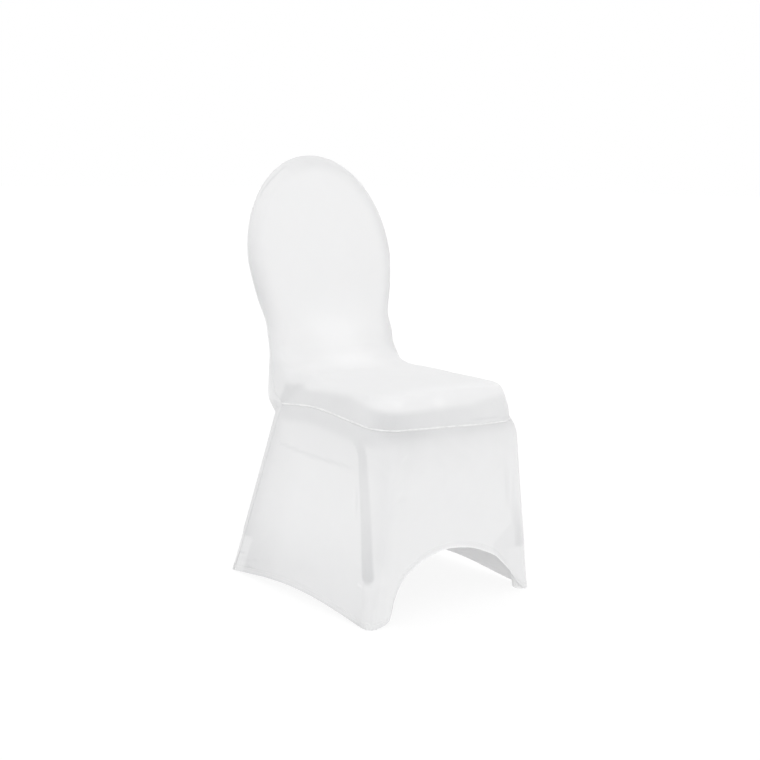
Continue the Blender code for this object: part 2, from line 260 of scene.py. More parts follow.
FAR_STRIPE_WIDTHS = (0.004, 0.026)
RIM_FOLD_SHADE_WIDTHS = (0.0006, 0.0034)
SEAT_FOLD_SHADE_WIDTHS = (0.0006, 0.0028)

# Greyness by a distance in metres or a height, read on smooth curves
# Painted shade, darker towards the rear edges
REAR_EDGE_SHADE = ((0.0, 0.62), (0.012, 0.56), (0.025, 0.45), (0.04, 0.37), (0.07, 0.3), (0.12, 0.22),
             (0.16, 0.16), (0.22, 0.13))
# Below the seat's seam on the sides: grey band where the cloth lies on something dark, and painted shade
SIDE_BAND_AND_SHADE = ((0.0, 0.68), (0.024, 0.68), (0.034, 0.6), (0.042, 0.42), (0.054, 0.34), (0.085, 0.29),
             (0.1, 0.26), (0.118, 0.19), (0.2, 0.17))
# Below the seat's seam on the front: grey band where the cloth lies on something dark, and painted shade
FRONT_BAND_AND_SHADE = ((0.0, 0.74), (0.01, 0.72), (0.02, 0.58), (0.03, 0.45), (0.046, 0.33), (0.063, 0.27),
              (0.1, 0.18), (0.14, 0.15))
# Painted shade, darker towards the floor
LOW_PAINTED_SHADE = ((0.0, 0.3), (0.05, 0.26), (0.1, 0.17), (0.15, 0.06), (0.2, 0.0))
BAND_TOP = (
    # distance along the seam from its near rear end, height where the seat's band ends
    (0.0, 0.446), (0.012, 0.448), (0.036, 0.449), (0.07, 0.444), (0.108, 0.443), (0.183, 0.449),
    (0.262, 0.45), (0.335, 0.44), (0.4, 0.4315), (0.45, 0.43), (0.51, 0.429), (0.57, 0.4285),
    (0.62, 0.427), (0.66, 0.434), (0.72, 0.44), (0.8, 0.446), (1.04, 0.446), (1.09, 0.446),
)
# Greyness of the seat's band above the seam: partly where the cloth lies on something dark, partly painted
# shade
SEAT_BAND_AND_SHADE_STRENGTH = (
    (0.0, 0.78), (0.015, 0.76), (0.03, 0.7), (0.05, 0.62), (0.08, 0.58), (0.15, 0.58),
    (0.25, 0.52), (0.3, 0.44), (0.335, 0.54), (0.365, 0.78), (0.4, 0.76), (0.45, 0.6),
    (0.5, 0.52), (0.56, 0.5), (0.61, 0.44), (0.66, 0.34), (0.72, 0.42), (0.8, 0.54),
    (1.06, 0.64), (1.09, 0.74),
)
RIM_SHADE_STRENGTH = (
    # height on the hood, painted shade at its edge
    (0.48, 0.38), (0.56, 0.42), (0.61, 0.64), (0.65, 0.75), (0.7, 0.62), (0.76, 0.4),
    (0.85, 0.22), (0.945, 0.34),
)
RIM_SHADE_WIDTH = 0.027
FACE_SHADE_STRENGTH = (
    # height on the hood, painted shade where its flat face begins
    (0.47, 0.12), (0.51, 0.28), (0.55, 0.3), (0.6, 0.26), (0.645, 0.24), (0.69, 0.22),
    (0.75, 0.36), (0.85, 0.3), (0.945, 0.26),
)
FACE_START = 0.03           # from the seam to the flat face
FACE_FADE = 0.017
BAND_REAR = (
    # height, y where the seat's band ends at the rear
    (0.38, 0.132), (0.405, 0.127), (0.415, 0.122), (0.425, 0.115), (0.44, 0.108), (0.5, 0.088),
)
BAND_OVERLAP = 30           # rows of the hood that the seat's band reaches on to

# Soft spots of painted shade, or of painted light where the greyness is below 0: middle, reach along x, y
# and z, greyness
ALL = math.inf
FACE_LOW_PAINTED_LIGHT = (((0.0, 0.0, 0.55), (ALL, ALL, 0.07), 0.3),)
REAR_END_SHADE = (
    ((-0.16, 0.085, 0.466), (0.034, 0.045, 0.026), 0.22),
    ((0.16, 0.085, 0.466), (0.034, 0.045, 0.026), 0.22),
)
BEND_SHADE = (((0.0, 0.0, 0.486), (ALL, ALL, 0.012), 0.13),)
# A spot of painted shade on the hood, and two painted highlights on the seat's front edge
SEAT_SHADE_AND_HIGHLIGHTS = (
    ((0.11, 0.0, 0.62), (0.035, ALL, 0.12), 0.08),
    ((-0.032, -0.243, 0.445), (0.016, 0.012, 0.007), -0.3),
    ((-0.144, -0.2424, 0.451), (0.016, 0.012, 0.007), -0.2),
)
SIDE_LOW_SHADE = (((0.0, 0.13, 0.045), (ALL, 0.09, 0.055), 0.17),)
REAR_SEAT_SHADE = (((0.0, 0.0, 0.398), (ALL, ALL, 0.016), 0.45),)

# Changes of greyness: where each starts and where it is complete
ON_HOOD_Z = (0.42, 0.47)
ON_HOOD_Y = (0.1, 0.13)
SEAT_END_Y = (0.03, 0.11)
BAND_TOP_FADE = (-0.005, 0.01)
BAND_REAR_FADE = (-0.006, 0.008)
FACE_LOW_Z = (0.485, 0.525)
SEAT_FRONT_FADE = (-0.235, -0.18)
SEAT_REAR_FADE = (-0.14, 0.03)
FAR_EDGE_X = (0.02, 0.1)
RIM_NARROW_Z = (0.44, 0.5)
RIM_Y = (0.055, 0.1)
LIGHT_PATCH_Y = (0.02, 0.1)
BEND_Y = (0.02, 0.08)
FACE_X = (-0.12, -0.02)
BELOW_SEAT_Z = (0.36, 0.42)
REAR_POCKET_Z = (0.085, 0.091)
REAR_POCKET_EDGE = (0.022, 0.034)
SIDE_POCKET_Z = (0.085, 0.0905)
SIDE_POCKET_EDGE = (0.028, 0.04)
HEM_DASHES = (0.0026, 0.0056)
CORNER_WASH_Z = (0.085, 0.15)
SLANT_FADE = (-0.009, 0.009)
SLANT_X = (0.11, 0.125)
POCKET_LINE_WIDTH = (0.0004, 0.004)
POCKET_MARK_Y = (-0.229, -0.221)
POCKET_MARK_X = (-0.214, -0.205)
ARCH_Z_FADE = (0.03, 0.08)
ARCH_LINE_WIDTH = (0.0025, 0.0048)
FRONT_NEAR_X = (-0.17, 0.02)
FRONT_FAR_X = (0.02, 0.16)
FRONT_EVEN_X = (-0.02, 0.08)

# Greyness of the seat and the hood, mostly painted shade and painted light
HOOD_GREY = 0.02
# Painted light: the hood's face lighter inwards from its seam
FACE_PAINTED_LIGHT = 0.11
FACE_PAINTED_LIGHT_WIDTH = 0.07
# Painted shade on the seat's top, lighter at its front edge
SEAT_PAINTED_SHADE = 0.12
SEAT_FRONT_PAINTED_SHADE = 0.16
SEAT_REAR_LOSS = 0.6
# Painted shade along the seat's far edge
FAR_EDGE_PAINTED_SHADE = 0.3
FAR_EDGE_PLACE = 0.042
FAR_EDGE_WIDTH = 0.012
RIM_LOW_SHARE = 0.4
# Painted light: a bright patch where the hood meets the seat
PAINTED_LIGHT_PATCH = 0.42
LIGHT_PATCH_MIDDLE = (0.004, 0.519)  # x and z
LIGHT_PATCH_HALF = 0.064
LIGHT_PATCH_LEAN = 0.35
LIGHT_PATCH_LEAN_Z = 0.521
MOTTLE = 0.014
SEAT_PUCKERS = 0.35         # share of a plain seam's puckers at the seat's seam

# Greyness of the outer back and the skirt
BELOW_SEAT_GREY = 0.13
EDGE_START = 0.012
REAR_POCKET_LOSS = 0.4
REAR_FOOT_GREY = 0.3
REAR_FOOT_Z = 0.012
REAR_FOOT_REACH = 0.022
# Painted shade where the seat's seam meets the rear edge
SEAM_END_SHADE = 0.16
SEAM_END_REACH = (0.02, 0.026)  # below the seam, from the rear edge
FRONT_GREY = 0.15
FRONT_GAIN = (1.42, 0.62, 0.3)  # at the near corner, less to the middle, less to the far corner
FRONT_EVEN_REACH = 0.016
CORNER_WASH = (0.14, 0.27, 0.03)  # everywhere, more at the corner, reach
# Painted shade where the far front corner turns away
FAR_CORNER_PAINTED_SHADE = (0.32, 0.016)
SLANT_GREY = 0.32
SLANT_START = (0.117, 0.118, 0.78)  # x, height there, rise for each metre of x
FRONT_FOOT = (0.214, -0.262)
FRONT_POCKET_TOP = (0.089, 0.013)  # near one, how much higher the far one is
FRONT_POCKET_REACH = (0.024, 0.022)
POCKET_TOP_HALF = 0.003
POCKET_SIDE_FADE = 0.02
FRONT_POCKET_GREY = (0.3, 0.1, 0.02)  # on the side, less on the front, more on the far one
POCKET_LINE = (0.16, -0.243)  # greyness, y
POCKET_MARKS = (
    # below the pocket's top, width, greyness
    (0.002, 0.0016, -0.36),
    (0.0068, 0.0014, 0.18),
)
SIDE_POCKET_GREY = (0.42, 0.06, 0.0011)  # even, rippled, pitch of the ripple over 2 pi
ARCH_LIGHT = 0.75
SKIRT_MOTTLE = (0.012, 0.016, 0.11)  # even, more below the front's seam, reach

# Creases of the cloth: soft ridges, or troughs where the depth is negative
SEAT_CREASES = (
    # start, end, width, depth
    ((-0.15, 0.1, 0.485), (-0.085, 0.01, 0.48), 0.013, -0.0016),
    ((0.152, 0.098, 0.485), (0.1, 0.02, 0.48), 0.012, -0.0014),
    ((-0.165, 0.135, 0.5), (-0.12, 0.16, 0.59), 0.012, -0.0015),
    ((0.165, 0.135, 0.5), (0.128, 0.158, 0.58), 0.012, -0.0013),
    ((0.1, -0.262, 0.402), (0.19, -0.232, 0.396), 0.003, 0.0012),
    ((-0.172, -0.24, 0.405), (-0.16, -0.235, 0.43), 0.004, 0.001),
    ((-0.186, -0.225, 0.404), (-0.181, -0.205, 0.432), 0.0045, -0.001),
    ((-0.19, -0.01, 0.408), (-0.18, -0.005, 0.44), 0.006, -0.0008),
    ((-0.186, 0.055, 0.41), (-0.176, 0.05, 0.446), 0.006, 0.0008),
    ((-0.04, -0.255, 0.396), (-0.032, -0.245, 0.43), 0.006, -0.0007),
)
OUTER_CREASES = (
    ((-0.19, 0.17, 0.4), (-0.12, 0.185, 0.47), 0.011, -0.0018),
    ((0.19, 0.17, 0.4), (0.125, 0.185, 0.465), 0.011, -0.0016),
    ((-0.15, 0.172, 0.395), (-0.04, 0.166, 0.385), 0.009, 0.0015),
    ((0.15, 0.172, 0.395), (0.05, 0.166, 0.388), 0.009, 0.0013),
    ((-0.165, 0.195, 0.3), (-0.06, 0.2, 0.24), 0.016, 0.0012),
    ((0.17, 0.2, 0.29), (0.08, 0.205, 0.22), 0.016, 0.0012),
    ((-0.2, 0.232, 0.11), (-0.09, 0.228, 0.06), 0.012, -0.0012),
    ((0.2, 0.232, 0.115), (0.1, 0.228, 0.055), 0.012, -0.0012),
)
SKIRT_CREASES = (
    ((-0.208, -0.2014, 0.3), (-0.217, -0.2082, 0.205), 0.005, -0.0013),
    ((-0.21, -0.19, 0.3), (-0.218, -0.199, 0.2), 0.0045, 0.0008),
    ((0.1582, -0.2569, 0.375), (0.1711, -0.264, 0.157), 0.004, 0.0014),
    ((0.148, -0.256, 0.34), (0.16, -0.264, 0.17), 0.0055, -0.0009),
    ((-0.17, -0.262, 0.272), (-0.095, -0.26, 0.268), 0.0028, 0.0008),
    ((-0.175, -0.261, 0.256), (-0.11, -0.26, 0.253), 0.0028, -0.0008),
    ((-0.162, -0.26, 0.33), (-0.12, -0.257, 0.352), 0.004, 0.0008),
    ((-0.2249, 0.22, 0.0325), (-0.2246, 0.156, 0.037), 0.0028, -0.002),
    ((-0.2231, 0.216, 0.0465), (-0.2226, 0.184, 0.0485), 0.0024, -0.0018),
    ((-0.227, 0.2, 0.0195), (-0.2264, 0.138, 0.0245), 0.0028, -0.0018),
    ((-0.2244, 0.164, 0.04), (-0.2236, 0.13, 0.044), 0.0028, -0.0012),
    ((-0.227, -0.248, 0.08), (-0.229, -0.25, 0.02), 0.0026, -0.0011),
    ((-0.215, -0.268, 0.082), (-0.219, -0.27, 0.03), 0.003, -0.0007),
    ((-0.223, -0.12, 0.09), (-0.224, 0.06, 0.05), 0.016, -0.0004),
    ((0.225, 0.205, 0.05), (0.229, 0.15, 0.056), 0.0032, -0.0011),
    ((0.208, -0.195, 0.32), (0.217, -0.206, 0.2), 0.0055, -0.0012),
    ((0.201, -0.264, 0.16), (0.214, -0.265, 0.06), 0.004, 0.0009),
)

# Broad soft bumps and hollows: middle, reach along x, y and z, height
SEAT_BUMPS = (
    ((0.14, -0.075, 0.467), (0.05, 0.095, 0.03), 0.004),
    ((0.176, 0.08, 0.478), (0.03, 0.03, 0.02), -0.004),
    ((0.188, -0.232, 0.44), (0.04, 0.04, 0.03), -0.003),
)
SKIRT_BUMPS = (
    ((0.2, -0.225, 0.372), (0.03, 0.06, 0.022), 0.004),
)
HOOD_BUMPS = (
    ((0.172, 0.155, 0.528), (0.03, 0.06, 0.038), 0.0066),
)
HOOD_BULGE = (
    ((0.005, 0.0, 0.53), (0.09, ALL, 0.06), 0.004),
)
# Painted shade in the skirt's troughs, and painted light as much on its ridges
CREASE_SHADE = 150.0        # greyness for each metre of a trough's depth

# Sewing
SEAM_GAP = 0.0003
HEM_STEP_HALF = 0.0006
SCALLOP_HEIGHT = 0.006
RIDGE_SIDES = 10
SEAT_SEAM_RISE = 0.5        # height of a seam's ridge as a share of its half width
BACK_SEAM_RISE = 0.45
STITCH_RINGS = (-1.0, -0.8, -0.3, 0.3, 0.8, 1.0)
STITCH_SIDES = 6
STITCH_RISE = 0.4
POCKET_PITCH_SHARE = 0.8

# Knit
COURSE_SHARE = 0.3
BROAD_CLOUD = 0.05
FINE_CLOUD = 0.04
CLOUD_DARKEST = 0.72
BAND_GRAIN = 0.25
ROUGH_GRAIN = 0.12
# Brightness where the greyness is below 0: painted light and highlights, and a few light marks
LIGHTEST = 1.1

# Stage
CAMERA_TARGET = Vector((0.0, -0.021, 0.45))
PICTURE_SIZE = 760
PICTURE_CENTRE = (382.35, 383.09)  # where the camera's axis meets the photo
SENSOR = 36.0
FLOOR_HALF = 40.0
WHITE = (1.0, 1.0, 1.0, 1.0)
LAMPS = (
    # name of its power setting, place, size
    ("key", (-2.6, -3.0, 2.6), 2.4),
    ("above", (0.6, 0.4, 3.6), 3.0),
)


def length_setting(name, description, default, low, high):
    """A setting for a length in metres."""
    return FloatProperty(
        name=name, description=description, default=default, min=low, max=high, unit="LENGTH")


def angle_setting(name, description, degrees):
    """A setting for an angle."""
    return FloatProperty(
        name=name, description=description, default=math.radians(degrees), subtype="ANGLE")


def share_setting(name, description, default):
    """A setting from 0 to 1."""
    return FloatProperty(
        name=name, description=description, default=default, min=0.0, max=1.0, subtype="FACTOR")


def colour_setting(name, description, *default):
    """A setting for a colour."""
    return FloatVectorProperty(
        name=name, description=description, default=default, size=3, min=0.0, max=1.0, subtype="COLOR")


class CoverSizes(bpy.types.PropertyGroup):
    """Sizes of the cloth, hems, seams and stitches"""
    cloth: length_setting("Cloth", "Thickness of the knit", 0.0013, 0.0005, 0.003)
    hem_width: length_setting("Hem width", "Width of the turned hem", 0.0138, 0.005, 0.03)
    hem_step: length_setting("Hem step", "How far the doubled hem stands out", 0.0007, 0.0, 0.002)
    hem_scallop: length_setting("Hem scallop", "How uneven the hem's edge is", 0.0006, 0.0, 0.003)
    seam_ridge: length_setting("Seam ridge", "Half the width of the seat's seam", 0.0021, 0.0005, 0.004)
    seam_bead: length_setting("Seam bead", "Half the width of a plain seam", 0.0017, 0.0004, 0.003)
    seam_groove: length_setting("Seam groove", "Depth of the groove along a plain seam", 0.0003, 0.0, 0.003)
    pucker: length_setting("Pucker", "Height of the small puckers beside a seam", 0.00035, 0.0, 0.002)
    pucker_pitch: length_setting("Pucker pitch", "Distance between puckers", 0.013, 0.004, 0.05)
    stripe_ridge: length_setting("Stripe ridge", "How far a grey stripe stands out", 0.0016, 0.0, 0.005)
    stitch_pitch: length_setting("Stitch pitch", "Distance between stitches", 0.0042, 0.002, 0.01)
    stitch_length: length_setting("Stitch length", "Length of a stitch", 0.0031, 0.001, 0.01)
    stitch_half: length_setting("Thread", "Half the thickness of the thread", 0.00036, 0.0001, 0.001)
    wale_pitch: length_setting("Wale pitch", "Width of one wale of the knit", 0.0011, 0.0004, 0.004)
    course_pitch: length_setting("Course pitch", "Height of one course of the knit", 0.0008, 0.0004, 0.004)


class CoverColours(bpy.types.PropertyGroup):
    """Colours and finish of the cloth, the thread and the floor"""
    cloth: colour_setting("Cloth", "Colour of the white knit", 0.835, 0.835, 0.838)
    # Also the colour of the painted shade, not only where the cloth lies on something dark
    shade: colour_setting("Grey band", "Colour where the cloth lies on something dark", 0.640, 0.642, 0.648)
    # Darker than the cloth: painted shade on the cloth's inner side
    inside: colour_setting("Inside", "Colour of the cloth's inner side", 0.795, 0.795, 0.798)
    pocket: colour_setting("Pocket", "Colour of the doubled pocket cloth", 0.850, 0.850, 0.850)
    thread: colour_setting("Thread", "Colour of the sewing thread", 0.880, 0.880, 0.880)
    floor: colour_setting("Floor", "Colour of the floor", 0.150, 0.150, 0.150)
    bead_shade: share_setting("Bead shade", "How much greyer a plain seam is than its cloth", 0.04)
    roughness: share_setting("Roughness", "Roughness of the knit", 0.72)
    sheen: share_setting("Sheen", "Soft sheen of the fibres", 0.12)
    show_through: share_setting("Light through", "Share of the light that passes into the knit", 0.45)


class StageSettings(bpy.types.PropertyGroup):
    """Place of the camera and strength of the light"""
    azimuth: angle_setting("Azimuth", "Where the camera stands round the cover", -39.9306)
    elevation: angle_setting("Elevation", "How far the camera looks down", 9.6519)
    roll: angle_setting("Roll", "Turn of the camera about its own axis", -1.0617)
    distance: length_setting("Distance", "From the camera to its target", 2.8212, 1.0, 10.0)
    focal_share: FloatProperty(
        name="Focal length", description="As a share of the picture's width", default=1.67879)
    sky: FloatProperty(name="Sky", description="Strength of the even light all round", default=1.0)
    key: FloatProperty(
        name="Key light", description="Power of the soft light in front", default=17.0, unit="POWER")
    above: FloatProperty(
        name="Top light", description="Power of the soft light above", default=7.0, unit="POWER")
    floor_glow: FloatProperty(
        name="Floor glow", description="Light that the pale floor gives off", default=0.86)


def sizes():
    """The size settings of the scene."""
    return bpy.context.scene.cover_sizes


def colours():
    """The colour settings of the scene."""
    return bpy.context.scene.cover_colours


def read_rows(rows, place):
    """Rows of a table read at any place from 0 to the last, on a smooth curve.

    Catmull-Rom: with p0..p3 four rows in a run and t from 0 to 1,
    p = (2 p1 + (p2-p0) t + (2p0-5p1+4p2-p3) t^2 + (3p1-3p2+p3-p0) t^3) / 2.
    """
    rows = np.asarray(rows, dtype=float)
    ends = np.vstack([2 * rows[0] - rows[1], rows, 2 * rows[-1] - rows[-2]])
    first = np.minimum(place.astype(int), len(rows) - 2)
    t = (place - first)[:, None]
    p0, p1, p2, p3 = (ends[first + k] for k in range(4))
    cubic = (3 * p1 - 3 * p2 + p3 - p0) * t ** 3
    square = (2 * p0 - 5 * p1 + 4 * p2 - p3) * t ** 2
    return (2 * p1 + (p2 - p0) * t + square + cubic) / 2


def table(rows, where):
    """Second column of a table at any value of its first, by smooth steps."""
    count = len(rows) - 1
    fine = read_rows(rows, np.linspace(0.0, count, CURVE_STEPS * count + 1))
    return np.interp(where, fine[:, 0], fine[:, 1])


def smooth(low, high, value):
    """0 below low, 1 above high, and 3t^2 - 2t^3 between them."""
    t = np.clip((value - low) / (high - low), 0.0, 1.0)
    return t * t * (3 - 2 * t)


def run_length(points, axis=0):
    """Distance along lines of points, from 0 at their start."""
    steps = np.linalg.norm(np.diff(points, axis=axis), axis=-1)
    start = np.zeros_like(np.take(steps, [0], axis=axis))
    return np.concatenate([start, np.cumsum(steps, axis=axis)], axis=axis)


def back_point(x, height, offset):
    """Points on a plane of the hood: offset is the distance behind its middle.

    y = BACK_Y + (height - BACK_Z) tan(lean) + offset cos(lean)
    z = height - offset sin(lean)
    """
    x, height, offset = np.broadcast_arrays(x, height, offset)
    y = BACK_Y + (height - BACK_Z) * math.tan(BACK_LEAN) + offset * math.cos(BACK_LEAN)
    z = height - offset * math.sin(BACK_LEAN)
    return np.stack([x, y, z], axis=-1).astype(float)


def plan(start, centre, radius):
    """Near side, near corner arc and half the front, then the same mirrored."""
    start = np.array(start)
    turn = np.linspace(0.0, math.pi / 2, CORNER_STEPS + 1)[:, None]
    arc = np.array(centre) + radius * np.hstack([-np.cos(turn), -np.sin(turn)])
    side = start + (arc[0] - start) * np.linspace(0.0, 1.0, SIDE_STEPS + 1)[:-1, None]
    middle = np.array([0.0, arc[-1, 1]])
    front = arc[-1] + (middle - arc[-1]) * np.linspace(0.0, 1.0, FRONT_STEPS // 2 + 1)[1:, None]
    half = np.vstack([side, arc, front])
    return np.vstack([half, half[-2::-1] * np.array([-1.0, 1.0])])


def seat_seam():
    """The seam under the seat's edge, from the near rear end to the far rear end."""
    centre = (-SEAT_FRONT_HALF + SEAT_CORNER_RADIUS, SEAT_FRONT_Y + SEAT_CORNER_RADIUS)
    points = plan((-SEAT_REAR_HALF, SEAT_REAR_Y), centre, SEAT_CORNER_RADIUS)
    run = run_length(points)
    return np.column_stack([points, table(SEAM_ROWS, run / run[-1])])


def floor_outline():
    """Plan of the skirt at the floor."""
    start = (-FOOT_REAR[0] - FOOT_ROUND, FOOT_REAR[1])
    return plan(start, (-FOOT_FRONT[0], FOOT_FRONT[1]), FOOT_ROUND)


def bend_rows(side):
    """Face, seam and rear lines down one side, from the round top to the seat."""
    seam_end = seat_seam()[0 if side < 0 else -1]
    rows = []
    for height, half_width in ((ARCH_Z, ARCH_HALF_WIDTH),) + BACK_ROWS:
        row = []
        for offset in (-BACK_HALF_DEPTH, 0.0, BACK_HALF_DEPTH):
            row.extend(back_point(half_width, height, offset))
        rows.append(row)
    rows.extend(BEND_ROWS)
    face_end = (SEAT_REAR_HALF, SEAT_REAR_Y - SEAT_REAR_TUCK, SEAT_TOP_REAR_Z)
    rows.append(face_end + (SEAT_REAR_HALF, SEAT_REAR_Y, seam_end[2]) + BEND_END_REAR)
    lines = read_rows(rows, np.linspace(0.0, len(rows) - 1.0, HOOD_STEPS + 1))
    lines[:, [0, 3, 6]] *= side
    return lines


def on_middle(points):
    """The same points moved sideways to the middle of the cover."""
    return points * np.array([0.0, 1.0, 1.0])


def backwards(group):
    """The same rays in the other order."""
    return [part[::-1] for part in group]


def rays(centre, edge, end, turn_width, lift):
    """A sheet as rays from its middle line out to its seam, and their plain lengths.

    With u the unit vector from centre to edge and L their distance, the flat
    run is centre + u s for s from 0 to L - turn_width. It then turns over a
    quarter ellipse: + u turn_width sin(b) + (end - edge) (1 - cos(b)), for b
    from 0 to 90 degrees, in steps that crowd to the seam. All of it is raised
    by lift (1 - (r / L)^2).
    """
    span = edge - centre
    length = np.linalg.norm(span, axis=1)[:, None, None]
    unit = span[:, None, :] / length
    width = turn_width[:, None, None]
    even = np.linspace(0.0, 1.0, TURN_STEPS + 1)[1:]
    angle = (math.pi / 2 * (1 - (1 - even) ** TURN_CROWDING))[None, :, None]
    flat = np.linspace(0.0, 1.0, FLAT_STEPS + 1)[None, :, None] * (length - width)
    reach = np.concatenate([flat, length - width + width * np.sin(angle)], axis=1)
    fall = np.concatenate([np.zeros_like(flat), np.ones_like(width) * (1 - np.cos(angle))], axis=1)
    drop = (end - edge)[:, None, :]
    crown = lift[:, None, :] * (1 - (reach / length) ** 2)
    return centre[:, None, :] + unit * reach + drop * fall + crown


def arch_rays(offset, lift):
    """Rays of the hood's round top on one face, from the near side to the far side.

    The edge is a half ellipse on a leaning plane: x = -W cos(a), and the height
    is ARCH_Z + rise sin(a), for a from 0 to 180 degrees.
    """
    turn = np.linspace(0.0, math.pi, ARCH_STEPS + 1)[1:-1]
    across = -ARCH_HALF_WIDTH * np.cos(turn)
    height = ARCH_Z + (TOTAL_HEIGHT - ARCH_Z) * np.sin(turn)
    edge = back_point(across, height, offset)
    middle = np.broadcast_to(back_point(0.0, ARCH_Z, offset), edge.shape)
    width = np.full(len(turn), BACK_ROUND)
    return [middle, edge, back_point(across, height, 0.0), width, np.tile(lift, (len(turn), 1))]


def seat_rays():
    """Rays of the seat from its far rear end round the front to its near rear end."""
    seam = seat_seam()[::-1][1:-1]
    behind = np.clip(seam[:, 1] / SEAT_REAR_Y, 0.0, 1.0)
    edge_y = seam[:, 1] - SEAT_REAR_TUCK * behind
    centre_y = np.maximum(edge_y, SEAT_CENTRE_Y)
    rear_share = (centre_y - SEAT_CENTRE_Y) / (SEAT_REAR_Y - SEAT_REAR_TUCK - SEAT_CENTRE_Y)
    top = SEAT_TOP_Z + (SEAT_TOP_REAR_Z - SEAT_TOP_Z) * rear_share
    edge = np.column_stack([seam[:, 0], edge_y, top])
    centre = np.column_stack([np.zeros(len(seam)), centre_y, top])
    lift = SEAT_CROWN * (1 - rear_share)[:, None] * UP
    return [centre, edge, seam, np.full(len(seam), SEAT_ROUND), lift]


def inner_grid():
    """Points of the seat and inner back, one row for each ray round the whole seam.

    Down the hood the turn widens and the crown fades with the square of the
    place, from 0 at the round top to 1 at the seat.
    """
    share = np.linspace(0.0, 1.0, HOOD_STEPS + 1) ** 2
    width = BACK_ROUND + (SEAT_ROUND - BACK_ROUND) * share
    lift = INNER_CROWN * (1 - share)[:, None] * -BACK_NORMAL
    groups = []
    for side in (-1, 1):
        lines = bend_rows(side)
        face, seam = lines[:, 0:3], lines[:, 3:6]
        groups.append([on_middle(face), face, seam, width, lift])
    near, far = groups
    arch = arch_rays(-BACK_HALF_DEPTH, -BACK_NORMAL * INNER_CROWN)
    rows = [backwards(near), arch, far, seat_rays()]
    grid = rays(*(np.concatenate(part) for part in zip(*rows)))
    grid = np.concatenate([grid, grid[:1]])[::-1]
    return softened(grid, (0, SEAT_ROWS), BEND_REACH, BEND_ROUNDS)


def softened(grid, rows, reach, rounds):
    """A closed grid with its rows evened out near some rows; the seam stays as it is.

    Each round moves a point half way to the middle of its two neighbours along
    the rows, times a weight that falls from 1 at the row to 0 at the reach, and
    from 1 inside the sheet to 0 at its seam.
    """
    ring = grid[:-1].copy()
    index = np.arange(len(ring))
    weight = np.zeros(len(ring))
    for row in rows:
        apart = np.abs(index - row)
        apart = np.minimum(apart, len(ring) - apart)
        weight = np.maximum(weight, 1 - smooth(0.0, reach, apart))
    inside = np.ones(grid.shape[1])
    inside[-len(SEAM_HOLD):] = SEAM_HOLD
    share = 0.5 * weight[:, None, None] * inside[None, :, None]
    for _ in range(rounds):
        ring += share * ((np.roll(ring, 1, axis=0) + np.roll(ring, -1, axis=0)) / 2 - ring)
    return np.concatenate([ring, ring[:1]])


def hem_places(length, steps):
    """Places from 0 to 1 down a length that ends in a hem, close together at the hem."""
    near = 1 - np.array(HEM_STEPS)[::-1] / length
    return np.concatenate([np.linspace(0.0, near[0], steps + 1)[:-1], near])


def outer_grid():
    """Points of the outer back: from the near rear hem up over the top and down.

    Below the seat the edges run straight to the rear corners. The middle of
    each row draws in by REAR_BOW sin of a quarter turn, and rises to the hem's
    arch with the square of the place.
    """
    groups = []
    for side in (-1, 1):
        lines = bend_rows(side)
        rear, seam = lines[:, 6:9], lines[:, 3:6]
        width = np.full(len(lines), BACK_ROUND)
        lift = np.tile(BACK_NORMAL * OUTER_CROWN, (len(lines), 1))
        share = hem_places(LOWER_LENGTH, LOWER_STEPS)[1:]
        foot = np.array([side * (FOOT_REAR[0] + FOOT_ROUND), FOOT_REAR[1], HEM_FOOT_Z])
        corner = foot + np.array([0.0, FOOT_ROUND, 0.0])
        end = seam[-1] + (foot - seam[-1]) * share[:, None]
        edge = rear[-1] + (corner - rear[-1]) * share[:, None]
        low_width = BACK_ROUND + (FOOT_ROUND - BACK_ROUND) * share
        low_lift = np.zeros_like(edge)
        low_lift[:, 1] = OUTER_CROWN - (OUTER_CROWN + REAR_BOW) * np.sin(share * math.pi / 2)
        low_lift[:, 2] = SIDE_HEM_RISE * share ** 2
        upper = [on_middle(rear), rear, seam, width, lift]
        lower = [on_middle(edge), edge, end, low_width, low_lift]
        groups.append([np.concatenate(pair) for pair in zip(upper, lower)])
    near, far = groups
    rows = [backwards(near), arch_rays(BACK_HALF_DEPTH, BACK_NORMAL * OUTER_CROWN), far]
    return rays(*(np.concatenate(part) for part in zip(*rows)))


def evened(values, rounds):
    """Values in a row, each made a quarter, a half and a quarter of itself and its neighbours."""
    values = values.copy()
    for _ in range(rounds):
        values[1:-1] = (values[:-2] + 2 * values[1:-1] + values[2:]) / 4
    return values


